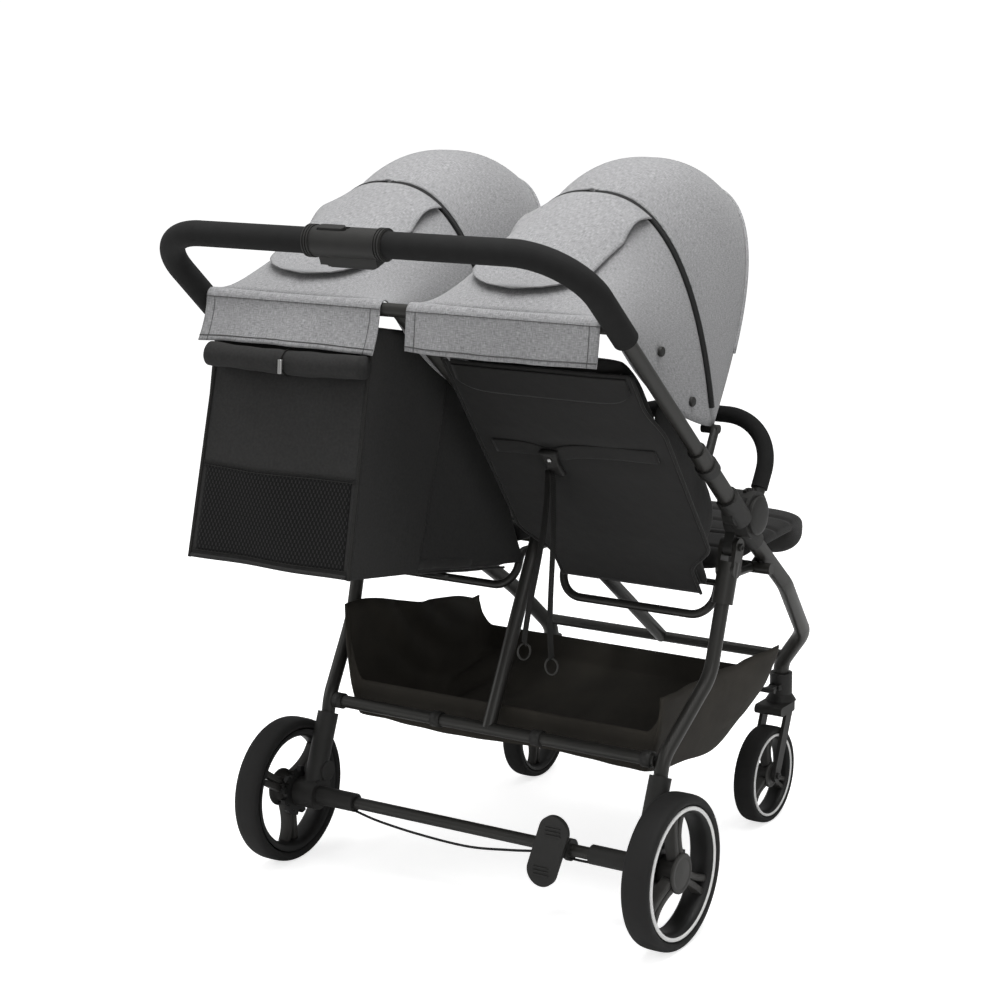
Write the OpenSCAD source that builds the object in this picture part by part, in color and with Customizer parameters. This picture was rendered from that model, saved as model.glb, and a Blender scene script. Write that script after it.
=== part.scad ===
// Twin pram: side-by-side double pushchair with folding frame, reclining seats and two hoods.
// Millimetres, +Z up, +Y the way it is pushed, origin on the floor under the middle of its bounding box.

/* [Wheels] */
// Radius of a rear tyre
rear_r = 117; // [110:1:122]
// Width of a rear tyre
rear_w = 44; // [38:1:46]
// Distance of a rear wheel's middle plane from the middle of the pram
rear_x = 353; // [350:1:360]
// Rear axle's place along the pram
axle_y = -168; // [-176:1:-160]
// Radius of a front tyre
front_r = 82; // [76:1:84]
// Width of a front tyre
front_w = 36; // [32:1:37]
// Distance of a front wheel's middle plane from the middle of the pram
front_x = 228; // [222:1:234]
// Front axle's place along the pram
front_y = 385; // [380:1:392]
// Share of the tyre's radius where the rim starts
rim_share = 0.855; // [0.8:0.005:0.88]
// Radius of the rear axle tube
axle_r = 9.5; // [8:0.5:11]

/* [Casters] */
// Swivel axis's place along the pram
swivel_y = 444; // [440:1:450]
// Radius of the swivel stem
stem_r = 8; // [6:0.5:10]
// Radius of the flared skirt under each swivel socket
skirt_r = 26; // [24:1:30]
// Height of the swivel socket's lower face
socket_z = 197; // [194:1:200]

/* [Frame] */
// Radius of the handle and rear leg tubes
tube_r = 11; // [9:0.5:12]
// Radius of the front leg tubes
leg_r = 13; // [11:0.5:14]
// Fold axis's place along the pram
hub_y = 66; // [62:1:70]
// Height of the fold axis
hub_z = 607; // [602:1:612]
// Radius of a hub disc
hub_r = 36; // [32:1:36.5]
// Rear leg pivot's place along the pram
pivot_y = 45; // [42:1:48]
// Height of the rear leg pivot
pivot_z = 560; // [556:1:561]
// Place of the low rear cross tube along the pram
low_bar_y = -114; // [-120:1:-108]
// Height of the low rear cross tube
low_bar_z = 262; // [256:1:268]

/* [Handle] */
// Half of the handle's width, to the tube's middle
handle_x = 356; // [354:0.5:358]
// Handle's place along the pram
handle_y = -447; // [-455:1:-440]
// Height of the handle
handle_z = 1047; // [1035:1:1060]
// Bend radius of the handle's corners
handle_bend = 95; // [80:1:110]
// Radius of the foam grips
grip_r = 18.5; // [17:0.5:20]
// Radius of the fold unit in the middle of the handle
unit_r = 23; // [22:0.5:24]
// Half of the fold unit's length
unit_x = 66; // [60:1:72]
// Hood cross tube's place along the pram
hood_bar_y = -333; // [-338:1:-328]
// Height of the hood cross tube
hood_bar_z = 940; // [934:1:944]

/* [Seats] */
// Distance of a seat's middle from the middle of the pram
seat_x = 177; // [176:0.5:178]
// Half of a backrest's width
back_half = 140; // [130:1:140.5]
// Length of a backrest
back_len = 466; // [440:1:472]
// Thickness of a backrest
back_t = 36; // [30:1:38]
// Backrest hinge's place along the pram
hinge_y = 46; // [44:1:48]
// Height of the backrest hinge
hinge_z = 500; // [498:1:502]
// Slope of the upright right backrest, degrees above level
slope_right = 55; // [52:1:57]
// Slope of the reclined left backrest, degrees above level
slope_left = 10.8; // [9:0.2:14]
// Length of a leg rest
leg_rest_len = 168; // [150:1:172]
// Radius of the foam bumper bars
bumper_r = 13; // [11:0.5:14]

/* [Hoods] */
// Hood pivot's place along the pram
pin_y = -27; // [-31:1:-23]
// Height of the hood pivot
pin_z = 752; // [748:1:756]
// Half of a hood's width
hood_half = 160; // [156:0.5:161]
// Reach of the middle bow from its pivot
mid_reach = 346.6; // [338:0.2:352]
// Reach of the front bow from its pivot
front_reach = 403; // [390:1:410]
// Lean of the middle bow, degrees from level ahead
mid_lean = 101.2; // [99:0.1:103]
// Lean of the front bow, degrees from level ahead
front_lean = 55.5; // [52:0.5:60]
// Thickness of hood and basket cloth
cloth = 2.4; // [2:0.1:3]

/* [Hidden] */
// Running clearance between a pin and its bore
run = 0.08;
// Gap between neighbours that only pass or touch
gap = 0.4;
// Cutters run this far past the faces they cut
past = 2;
// Elbows stand proud of their tubes by this much, and the tubes run this far into them
swell = 0.1;
tuck = 0.5;
// Facets of round bodies
$fn = 64;
// Round pieces of hulls and swept rods
rod_sides = 10;

// Levels across one side, from the middle outward
outer_out = 370;
upper_hub_t = 26;
plate_t = 16;
plate_out = outer_out - upper_hub_t;
plate_in = plate_out - plate_t;
outer_in = plate_out + gap;
ear_t = 6.6;
ear_in = plate_in - gap - ear_t;
ear_out = outer_in + ear_t;
leg_x = (plate_in + plate_out) / 2;
axle_z = rear_r;
front_z = front_r;

// Handle tube's line in the side plane
line_hub = [hub_y - 32, hub_z];
line_end = [handle_y, handle_z];
tube_dir = unit(line_end - line_hub);
sleeve_start = 64;
sleeve_end = 190;
sleeve_r = tube_r + 3;
grip_low_share = 0.715;

// Backrest levels
rod_r = 5;
back_start = rod_r + gap;
back_rear = 27;
foot_inset = 14;
foot_half = back_half - foot_inset;
foot_len = 110;
rail_r = 6.5;
rail_clear = 2;
rail_in = seat_x - foot_half - rail_r - rail_clear;
rail_out = seat_x + foot_half + rail_r + rail_clear;

// Hood levels
bow_r = 3.2;
eye_r = 7;
eye_t = 6.8;
pin_r = 3;
hood_x = 180;
bow_skin = 0.5;
mid_half = hood_half - cloth - bow_skin - bow_r;
front_half = mid_half - eye_t - gap;
arch_power = 0.78;
hood_bulge = 16;

// Keeps the bounding box centred over the origin when sizes change
shift_y = -(swivel_y + skirt_r + handle_y - unit_r) / 2;

function unit(v) = v / norm(v);
function lerp(a, b, t) = a + (b - a) * t;
function at(x, yz) = [x, yz[0], yz[1]];
function seg(p, i) = unit(p[i + 1] - p[i]);
function turn(p, i) = acos(max(-1, min(1, seg(p, i - 1) * seg(p, i))));
function bend_at(b, i) = is_list(b) ? b[i] : b;
function trim(p, i, b) = (i == 0 || i == len(p) - 1) ? 0 : bend_at(b, i) * tan(turn(p, i) / 2);
function flat(g) = [for (row = g) for (q = row) q];

// Mirrors the right-hand shape to the left side
module sided(s) {
  if (s > 0) children();
  else mirror([1, 0, 0]) children();
}

// Places children with their Z along d and their origin at o
module aim(o, d) {
  ref = abs(d[0]) > 0.9 ? [0, 1, 0] : [1, 0, 0];
  y = unit(cross(d, ref));
  x = cross(y, d);
  multmatrix([[x[0], y[0], d[0], o[0]], [x[1], y[1], d[1], o[1]], [x[2], y[2], d[2], o[2]], [0, 0, 0, 1]])
    children();
}

// Round rod from a to b
module rod(a, b, r) {
  aim(a, unit(b - a)) cylinder(r = r, h = norm(b - a));
}

// Tube through points p with bend radius b at the inner points
module bent_tube(p, r, b) {
  last = len(p) - 2;
  for (i = [0 : last])
    rod(p[i] + seg(p, i) * (trim(p, i, b) - (i > 0 ? tuck : 0)),
      p[i + 1] - seg(p, i) * (trim(p, i + 1, b) - (i < last ? tuck : 0)), r);
  for (i = [1 : last]) elbow(p, i, r + swell, b);
}

module elbow(p, i, r, b) {
  t = seg(p, i - 1);
  w = unit(cross(t, seg(p, i)));
  q = cross(t, w);
  o = p[i] - t * trim(p, i, b) - q * bend_at(b, i);
  multmatrix([[q[0], t[0], w[0], o[0]], [q[1], t[1], w[1], o[1]], [q[2], t[2], w[2], o[2]], [0, 0, 0, 1]])
    rotate_extrude(angle = turn(p, i)) translate([bend_at(b, i), 0]) circle(r = r);
}

// Disc or boss along X from x0 to x1, centred on c in the side plane
module across(c, x0, x1, r) {
  translate([x0, c[0], c[1]]) rotate([0, 90, 0]) cylinder(r = r, h = x1 - x0);
}

// Flat link from a to b in the side plane, of half-width r, from x0 to x1. Its web is a little slimmer than its
// far end and its near end slimmer still, so that no two faces lie in one plane
waist_share = 0.96;
web_inset = 0.25;
module link(a, b, x0, x1, r) {
  across(a, x0 + 2 * web_inset, x1 - 2 * web_inset, r);
  across(b, x0, x1, r);
  d = b - a;
  translate([x0 + web_inset, a[0], a[1]]) rotate([atan2(d[1], d[0]), 0, 0])
    translate([0, 0, -r * waist_share]) cube([x1 - x0 - 2 * web_inset, norm(d), 2 * r * waist_share]);
}

// Closed solid between two grids of points, the top one facing outward
module grid_solid(top, low) {
  n = len(top);
  m = len(top[0]);
  k = n * m;
  e = n - 1;
  f = m - 1;
  polyhedron(concat(flat(top), flat(low)), concat(
    [for (i = [0 : n - 2]) for (j = [0 : m - 2]) each [
      [i * m + j, i * m + j + 1, i * m + m + j + 1], [i * m + j, i * m + m + j + 1, i * m + m + j],
      [k + i * m + j, k + i * m + m + j + 1, k + i * m + j + 1],
      [k + i * m + j, k + i * m + m + j, k + i * m + m + j + 1]]],
    [for (j = [0 : m - 2]) each [[j + 1, j, k + j], [j + 1, k + j, k + j + 1],
      [e * m + j, e * m + j + 1, k + e * m + j + 1], [e * m + j, k + e * m + j + 1, k + e * m + j]]],
    [for (i = [0 : n - 2]) each [[i * m, i * m + m, k + i * m + m], [i * m, k + i * m + m, k + i * m],
      [i * m + m + f, i * m + f, k + i * m + f], [i * m + m + f, k + i * m + f, k + i * m + m + f]]]));
}

// Swept rod of few sides along a plane arch, rings set in the plane across the path
module arch_rod(path, r) {
  n = len(path);
  w = unit(cross(path[floor(n / 2)] - path[0], path[n - 1] - path[0]));
  ring = [for (i = [0 : n - 1])
    let (t = unit(path[min(i + 1, n - 1)] - path[max(i - 1, 0)]), u = cross(w, t))
    [for (j = [0 : rod_sides - 1])
      path[i] + r * (cos(360 * j / rod_sides) * u + sin(360 * j / rod_sides) * w)]];
  z = (n - 1) * rod_sides;
  polyhedron(flat(ring), concat(
    [for (i = [0 : n - 2]) for (j = [0 : rod_sides - 1])
      let (a = i * rod_sides + j, b = i * rod_sides + (j + 1) % rod_sides)
      each [[a, b + rod_sides, b], [a, a + rod_sides, b + rod_sides]]],
    [for (j = [1 : rod_sides - 2]) [0, j, j + 1]],
    [for (j = [1 : rod_sides - 2]) [z, z + j + 1, z + j]]));
}

// Square with rounded corners, centred
module soft_square(w, h, r) {
  square([w - 2 * r, h], center = true);
  square([w, h - 2 * r], center = true);
  for (x = [-1, 1], y = [-1, 1]) translate([x * (w / 2 - r), y * (h / 2 - r)]) circle(r = r);
}

hub = [hub_y, hub_z];
pivot = [pivot_y, pivot_z];
low_bar = [low_bar_y, low_bar_z];
axle = [axle_y, axle_z];
hinge = [hinge_y, hinge_z];
hood_pin = [pin_y, pin_z];
hood_bar = [hood_bar_y, hood_bar_z];

// Front legs run from the hub plate, forward and inward, down to the swivel sockets
leg_root = hub + [24, -20];
socket_wall = 4;
leg_top_z = 262;
leg_end_z = 232;
leg_path = [at(plate_out - leg_r - socket_wall, leg_root), [320, 262, 452], [282, 414, 330],
  [front_x, swivel_y, leg_top_z], [front_x, swivel_y, leg_end_z]];
leg_bends = [0, 160, 70, 40, 0];
// Rear legs hang from the pivot, bend inward and back, and stand in the wheel housings
shin_top = pivot - [8, 24];
knee = [332, -12, 372];
ankle = [307, -112, 266];
shin_path = [at(leg_x, shin_top), knee, ankle, [306, -126, 205]];
shin_bends = [0, 90, 60, 0];
housing_x = 306;

// Frame pieces that stay with the front legs

// The bumpers' sockets: how far the mouth stands out and how deep the prong and its bore go
bump_mouth = 12;
prong_len = 16;
prong_bore = 18;
socket_tail = 7;
boss_end = outer_out - 6;
fold_pin_r = 6;
pivot_pin_r = 5;
pin_head = 1;

module front_hub(s) {
  lug_r = 15;
  ear_room = 20;
  socket_r = leg_r + socket_wall;
  socket_len = 62;
  socket_back = 8;
  bump_r = 10;
  bump_root = hub + [14, 2];
  foot = leg_path[0];
  sided(s) difference() {
    union() {
      across(hub, plate_in, plate_out, hub_r);
      across(hub, plate_in + past, boss_end, fold_pin_r);
      link(hub, pivot, plate_in, plate_out, lug_r);
      rod(foot - leg_dir() * socket_back, foot + leg_dir() * socket_len, socket_r);
      rod(at(bump_x_out + bump_r / 2, bump_root), bump_low(bump_x_out), bump_r);
      bump_socket(bump_x_out, bump_r + swell);
    }
    rod(foot, foot + leg_dir() * (socket_len + past), leg_r + run);
    across(pivot, plate_in - past, plate_out + past, pivot_pin_r + run);
    prong_hole(bump_x_out);
    across(pivot, plate_out + gap, outer_out, lug_r);
    across(pivot, plate_in - ear_room, plate_in - gap, lug_r);
  }
}

// Outside of one bumper socket
module bump_socket(x, r) {
  rod(bump_low(x) - bump_dir() * socket_tail, bump_low(x) + bump_dir() * bump_mouth, r);
}

// Bore of one bumper socket
module prong_hole(x) {
  rod(bump_low(x) - bump_dir() * prong_bore, bump_low(x) + bump_dir() * (bump_mouth + past), prong_r + run);
}

function leg_dir() = seg(leg_path, 0);
prong_r = 6;
bump_x_out = 328;
bump_x_in = 44;
function bump_low(x) = [x, 144, 618];
function bump_top(x) = [x, 212, 726];
function bump_dir() = unit(bump_top(0) - bump_low(0));

module front_leg(s) {
  sided(s) bent_tube(leg_path, leg_r, leg_bends);
}

module caster_sockets() {
  neck_h = 48;
  skirt_h = 12;
  stem_h = 30;
  for (s = [-1, 1]) sided(s) difference() {
    union() {
      translate([front_x, swivel_y, socket_z]) cylinder(r = neck_r, h = neck_h);
      translate([front_x, swivel_y, socket_z]) cylinder(r1 = skirt_r, r2 = neck_r - gap, h = skirt_h);
      for (e = [-1, 1]) lock_ear(e * lock_ear_x);
    }
    translate([front_x, swivel_y, socket_z - past]) cylinder(r = stem_r + run, h = stem_h + past + gap);
    rod(leg_path[4], leg_path[3], leg_r + run);
  }
}

neck_r = 19;
lock_ear_x = 9;
lock_ear_t = 3;
lock_back = 24;
lock_up = 27;
lock_pivot = [swivel_y - lock_back, socket_z + lock_up];
lock_pin_r = 2;

// Small ear that carries one end of a swivel lock's pin
module lock_ear(off) {
  ear = lock_ear_t;
  r = 4.5;
  root = [12, 0];
  x = front_x + off - ear / 2;
  link(lock_pivot, lock_pivot + root, x, x + ear, r);
  across(lock_pivot, x - (off > 0 ? ear : 0), x + ear + (off > 0 ? 0 : ear), lock_pin_r);
}

module swivel_lock(s) {
  tip = [-30, 3];
  r = 3.4;
  w = 2 * lock_ear_x - lock_ear_t - 2 * gap;
  paddle = 8;
  pad_r = r + 1;
  sided(s) difference() {
    union() {
      link(lock_pivot, lock_pivot + tip, front_x - w / 2, front_x + w / 2, r);
      across(lock_pivot + tip, front_x - w / 2 - paddle, front_x + w / 2 + paddle, pad_r);
    }
    across(lock_pivot, front_x - w, front_x + w, lock_pin_r + run);
    translate([front_x, swivel_y, 0]) cylinder(r = neck_r + gap, h = handle_z);
  }
}

seat_bar = [165, 499.5];
seat_bar_r = 9;
front_bar = [440, 276];

arm_end = hub + [46, -76];

module seat_frame() {
  dip = [30, 450];
  top = hinge + [6, 4];
  bends = [0, 16, 38, 38, 16, 0];
  bar_past = 8;
  bar_end = front_x + bar_past;
  difference() {
    union() {
      rod(at(-plate_out, seat_bar), at(plate_out, seat_bar), seat_bar_r);
      rod(at(-bar_end, front_bar), at(bar_end, front_bar), seat_bar_r);
      rod(at(0, arm_end), at(0, front_bar), tube_r);
      for (s = [-1, 1]) sided(s) {
        bent_tube([at(rail_out, seat_bar), at(rail_out, top), at(rail_out, dip), at(rail_in, dip),
          at(rail_in, top), at(rail_in, seat_bar)], rail_r, bends);
        rod(at(rail_in, hinge), at(rail_out, hinge), rod_r);
        for (x = [rail_in, rail_out]) rod(at(x, seat_bar), at(x, rest_hinge), rail_r - swell);
        rod(at(rail_in, rest_hinge), at(rail_out, rest_hinge), rod_r);
      }
    }
    for (s = [-1, 1]) sided(s) bent_tube(leg_path, leg_r + run, leg_bends);
  }
}

cheek_in = 13;
cheek_out = 19;

module mid_hub() {
  r = 17;
  web_r = 16;
  bump_r = 10;
  arm_r = 8;
  saddle_r = seat_bar_r + 5;
  arm_block_r = 15;
  bump_root = hub + [40, 2];
  difference() {
    union() {
      for (s = [-1, 1]) sided(s) {
        across(hub, cheek_in, cheek_out, r + past);
        link(hub, pivot, cheek_in, cheek_out, r);
        link(hub, arm_end, cheek_in + gap, cheek_out - gap, web_r);
        link(hub, bump_root, cheek_in + 2 * gap, cheek_out - 2 * gap, bump_r);
        link(arm_end, seat_bar, cheek_in, cheek_out, saddle_r);
        rod(at(cheek_in + past, bump_root), at(bump_x_in, bump_root), arm_r);
        rod(at(bump_x_in, bump_root), bump_low(bump_x_in), bump_r);
        bump_socket(bump_x_in, bump_r + swell);
      }
      across(arm_end, -cheek_in - past, cheek_in + past, arm_block_r);
      across(hub, -cheek_out - pin_head, cheek_out + pin_head, fold_pin_r);
      across(pivot, -cheek_out - pin_head, cheek_out + pin_head, pivot_pin_r);
    }
    across(seat_bar, -cheek_out - past, cheek_out + past, seat_bar_r + run);
    rod(at(0, arm_end), at(0, front_bar), tube_r + run);
    for (s = [-1, 1]) sided(s) prong_hole(bump_x_in);
  }
}

module bumper(s) {
  bend = 88;
  ends = bump_mouth + gap;
  sided(s) {
    bent_tube([bump_low(bump_x_out) + bump_dir() * ends, bump_top(bump_x_out), bump_top(bump_x_in),
      bump_low(bump_x_in) + bump_dir() * ends], bumper_r, bend);
    for (x = [bump_x_in, bump_x_out])
      rod(bump_low(x) - bump_dir() * prong_len, bump_low(x) + bump_dir() * (ends + past), prong_r);
  }
}

// Seat pieces

seat_half = 126;
pad_thick = 34;
seat_low_z = seat_bar[1] + seat_bar_r + gap;
seat_front = 196;
rest_hinge = [seat_front + 12, 522];

module seat_pad(s) {
  pad_back = 18;
  rear = hinge_y + pad_back;
  thick = pad_thick;
  edge = 16;
  crown = 12;
  n = 8;
  m = 10;
  tops = [for (i = [0 : n]) [for (j = [0 : m])
    let (u = 2 * i / n - 1, v = 2 * j / m - 1, c = (1 - pow(u, 6)) * (1 - pow(v, 6)))
    [seat_x + u * seat_half * (1 - 0.04 * pow(v, 4)), lerp(rear, seat_front, (v + 1) / 2),
      seat_low_z + edge + (thick - edge) * c + crown * (pow(u, 4) * c + 0.6 * max(v, 0) * c)
        - 3 * c * pow(abs(cos(180 * v * 1.5)), 12)]]];
  lows = [for (i = [0 : n]) [for (j = [0 : m]) [tops[i][j][0], tops[i][j][1], seat_low_z]]];
  sided(s) grid_solid(tops, lows);
}

module harness_buckles() {
  y = 112;
  base = seat_low_z + pad_thick + gap;
  strap_w = 26;
  strap_h = 52;
  strap_t = 2.5;
  body = [52, 18, 46];
  clip_r = 9;
  for (s = [-1, 1]) sided(s) {
    translate([seat_x - strap_w / 2, y - strap_t / 2, base]) cube([strap_w, strap_t, strap_h]);
    translate([seat_x, y, base + strap_h + body[2] / 2]) rotate([90, 0, 0])
      linear_extrude(height = body[1], center = true) soft_square(body[0], body[2], clip_r);
    translate([seat_x, y, base + strap_h + body[2] / 2]) rotate([90, 0, 0])
      cylinder(r = clip_r, h = body[1] + 3, center = true);
  }
}

module leg_rest(s) {
  start = rod_r + gap;
  thick = 26;
  lip = 62;
  n = 8;
  m = 9;
  half = 112;
  tops = [for (i = [0 : n]) [for (j = [0 : m])
    let (u = 2 * i / n - 1, v = j / m, c = (1 - pow(u, 6)) * (1 - pow(2 * v - 1, 8)))
    [seat_x + u * half, rest_hinge[0] + start + v * (leg_rest_len - start),
      rest_hinge[1] + thick * 0.25 + thick * 0.45 * c + 8 * v]]];
  lows = [for (i = [0 : n]) [for (j = [0 : m])
    let (u = 2 * i / n - 1, v = j / m, q = max(0, (v - 0.66) / 0.34))
    [tops[i][j][0], tops[i][j][1] - 22 * q, rest_hinge[1] - thick * 0.4 - lip * pow(q, 0.7) * (1 - 0.35 * pow(u, 6))]]];
  sided(s) grid_solid(tops, lows);
}

// The basket is a slack tub of cloth: a low rear wall ahead of the low bar, a sagging floor, a front wall and
// side walls that rise to the frame, the left one higher
module basket() {
  rear_y = low_bar_y + 24;
  rear_lean = 10;
  floor_len = 372;
  front_lean_out = 22;
  floor_z = 236;
  floor_rise = 20;
  sag = 40;
  ripple = 3;
  hem_z = 292;
  tops = [350, 372];
  peak = 58;
  front_drop = [14, 24];
  flat_half = 262;
  side_w = 28;
  shares = [0.14, 0.82, 0.72];
  bunch_shares = [1.7, 0.1];
  n = 22;
  m = 18;
  sheet = function (off) [for (i = [0 : n]) [for (j = [0 : m])
    let (u = 2 * i / n - 1, v = j / m, k = u < 0 ? 1 : 0, in = min(1, abs(u) / shares[2]),
      wall = max(0, (abs(u) - shares[2]) / (1 - shares[2])), back = max(0, 1 - v / shares[0]),
      front = max(0, (v - shares[1]) / (1 - shares[1])),
      along = max(0, min(1, (v - shares[0]) / (shares[1] - shares[0]))),
      x = sign(u) * (flat_half * in + (side_w + off) * sin(90 * wall)),
      y = rear_y + floor_len * along + (rear_lean - off) * back + (front_lean_out + off) * front,
      slack = sag * sin(180 * along) - ripple * sin(720 * v) * sin(360 * u) * (1 - wall),
      deep = floor_z + floor_rise * along - slack,
      base = lerp(deep, hem_z, max(back, front)),
      bunch = max(0, sin(180 * min(1, bunch_shares[0] * along + bunch_shares[1]))),
      top = tops[k] - front_drop[k] * along + k * peak * bunch)
    [x, y, lerp(base, top, pow(wall, 1.5)) - off * (1 - wall) * (1 - max(back, front))]]];
  grid_solid(sheet(0), sheet(cloth));
}

// Pieces of the handle frame, which folds forward about the hubs

function on_tube(x, s) = at(x, line_hub + tube_dir * s);
tube_len = norm(line_end - line_hub);
grip_low = tube_len * grip_low_share;

module handle_tube() {
  for (s = [-1, 1]) sided(s) rod(on_tube(handle_x, sleeve_start), on_tube(handle_x, sleeve_end), sleeve_r);
  bent_tube([on_tube(handle_x, tube_start), on_tube(handle_x, tube_len), on_tube(-handle_x, tube_len),
    on_tube(-handle_x, tube_start)], tube_r, handle_bend);
}

tube_start = 14;

module upper_hub(s) {
  socket_r = 18;
  cap_r = 29;
  cap_t = 3;
  arm_step = 5;
  arm_len = 24;
  arm_r = 22;
  tooth = [5, 6, 5];
  tooth_in = 4;
  bore = fold_pin_r + run;
  wide = tube_len;
  sided(s) difference() {
    union() {
      across(hub, outer_in, outer_out - cap_t, hub_r);
      across(hub, outer_out - cap_t - past, outer_out, cap_r);
      rod(on_tube(handle_x, 0), on_tube(handle_x, sleeve_start - gap), socket_r);
      link(hub, line_hub + tube_dir * arm_len, outer_in, outer_out - cap_t - arm_step, arm_r);
      for (a = [66 : 12 : 102]) translate([outer_in + tooth_in, hub_y, hub_z]) rotate([a, 0, 0])
        translate([0, hub_r - past, -tooth[2] / 2]) cube(tooth);
    }
    translate([0, hub_y - wide / 2, hub_z - wide / 2]) cube([outer_in, wide, wide]);
    rod(on_tube(handle_x, tube_start - gap), on_tube(handle_x, sleeve_start + past), tube_r + run);
    across(hub, outer_in - past, boss_end + gap, bore);
  }
}

module handle_grips() {
  path = [[unit_x + gap, handle_y, handle_z], [handle_x, handle_y, handle_z], on_tube(handle_x, grip_low)];
  core = [[unit_x - past, handle_y, handle_z], [handle_x, handle_y, handle_z],
    on_tube(handle_x, grip_low - past)];
  for (s = [-1, 1]) sided(s) difference() {
    bent_tube(path, grip_r, handle_bend);
    bent_tube(core, tube_r + run, handle_bend);
    rod(at(handle_x - 2 * grip_r, hood_bar), at(handle_x, hood_bar), hood_bar_r + run);
  }
}

// Axes of the fold unit, tilted back a little
unit_tilt = 20;
module on_unit() {
  translate([0, handle_y, handle_z]) rotate([unit_tilt, 0, 0]) children();
}
trigger = [84, 15, 11];
trigger_travel = 6;
slider = [44, 12, 5];
slider_x = -22;
slider_travel = 6;

unit_rib = 1.6;
nose = [96, 22, 21];
nose_seat = 12;
nose_z = nose_seat - nose[2] - (unit_r - unit_rib);
trigger_out = 4;
trigger_room = 8;

module fold_housing() {
  collar_w = 11;
  rib_w = 2.2;
  body_r = unit_r - unit_rib;
  collar_in = 1;
  slot_d = 3;
  ring_x = unit_x - collar_w / 2 - collar_in;
  difference() {
    union() {
      across([handle_y, handle_z], -unit_x, unit_x, body_r);
      for (s = [-1, 1], i = [0 : 2])
        across([handle_y, handle_z], s * ring_x + (i - 1) * 2 * rib_w - rib_w / 2,
          s * ring_x + (i - 1) * 2 * rib_w + rib_w / 2, unit_r);
      on_unit() translate([-nose[0] / 2, -nose[1] / 2, nose_z]) cube(nose);
    }
    across([handle_y, handle_z], -unit_x - past, unit_x + past, tube_r + run);
    on_unit() translate([-trigger[0] / 2 - gap, -trigger[1] / 2 - gap, nose_z - past])
      cube([trigger[0] + 2 * gap, trigger[1] + 2 * gap, past + trigger_travel + trigger_room]);
    on_unit() translate([slider_x - slider[0] / 2 - gap, -slider[1] / 2 - gap, body_r - slot_d])
      cube([slider[0] + 2 * gap + slider_travel, slider[1] + 2 * gap, unit_r]);
  }
}

module fold_trigger() {
  corner = 6;
  lip = [8, 4];
  lip_h = 3;
  lip_out = 2;
  lip_corner = 4;
  on_unit() translate([0, 0, nose_z - trigger_out]) linear_extrude(height = trigger[2] - trigger_out)
    soft_square(trigger[0], trigger[1], corner);
  on_unit() translate([0, 0, nose_z - trigger_out - lip_out]) linear_extrude(height = lip_h)
    soft_square(trigger[0] - lip[0], trigger[1] - lip[1], lip_corner);
}

module fold_slider() {
  seat_d = 3;
  corner = 5;
  on_unit() translate([slider_x, 0, unit_r - unit_rib - seat_d + gap / 4]) linear_extrude(height = slider[2])
    soft_square(slider[0], slider[1], corner);
}

hood_bar_r = 10;

// The cross tube's ends pass through the foam and meet the handle tube
module hood_crossbar() {
  s0 = (hood_bar - line_hub) * tube_dir;
  reach = 3 * tube_r;
  difference() {
    rod(at(-handle_x, hood_bar), at(handle_x, hood_bar), hood_bar_r);
    for (s = [-1, 1]) sided(s)
      rod(on_tube(handle_x, s0 - reach), on_tube(handle_x, s0 + reach), tube_r + run);
  }
}

module mid_tube() {
  eye = 15;
  x = cheek_in - gap;
  difference() {
    union() {
      across(hub, -x, x, eye);
      rod(at(0, hub), at(0, hood_bar), tube_r);
    }
    across(hub, -x - past, x + past, fold_pin_r + run);
    across(hood_bar, -x - past, x + past, hood_bar_r + run);
  }
}

module hood_clips() {
  collar_w = 18;
  arm_r = 6.5;
  collar_wall = 3;
  sunk = 4;
  short = 1;
  tip = hood_x + front_half - eye_t / 2 - short;
  side_s = (hood_pin - line_hub) * tube_dir;
  mid_dir = unit(hood_bar - hub);
  mid_s = (hood_pin - hub) * mid_dir;
  foot = line_hub + tube_dir * side_s;
  mid_foot = hub + mid_dir * mid_s;
  arm_x = hood_x + mid_half + eye_t / 2 + gap + arm_r;
  for (s = [-1, 1]) sided(s) difference() {
    union() {
      rod(on_tube(handle_x, side_s - collar_w / 2), on_tube(handle_x, side_s + collar_w / 2),
        sleeve_r + collar_wall);
      rod(at(handle_x - sunk, foot), at(arm_x, hood_pin), arm_r);
      across(hood_pin, arm_x - arm_r, arm_x + arm_r, arm_r);
      across(hood_pin, tip, arm_x, pin_r);
    }
    rod(on_tube(handle_x, side_s - collar_w), on_tube(handle_x, side_s + collar_w), sleeve_r + run);
  }
  difference() {
    union() {
      rod(at(0, mid_foot - mid_dir * collar_w / 2), at(0, mid_foot + mid_dir * collar_w / 2),
        tube_r + collar_wall);
      rod(at(0, mid_foot), at(0, hood_pin), arm_r);
      across(hood_pin, -2 * hood_x + tip, 2 * hood_x - tip, pin_r);
      across(hood_pin, -2 * hood_x + arm_x - arm_r, 2 * hood_x - arm_x + arm_r, arm_r);
    }
    rod(at(0, mid_foot - mid_dir * collar_w), at(0, mid_foot + mid_dir * collar_w), tube_r + run);
  }
}

// Hoods. A bow is an arch of half-width a and reach l in the plane that leans by w about the pivot

function arch(a, l, w, q) =
  let (c = cos(q), h = pow(sin(q), arch_power))
  [hood_x + a * sign(c) * pow(abs(c), arch_power), pin_y + l * h * cos(w), pin_z + l * h * sin(w)];

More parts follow.
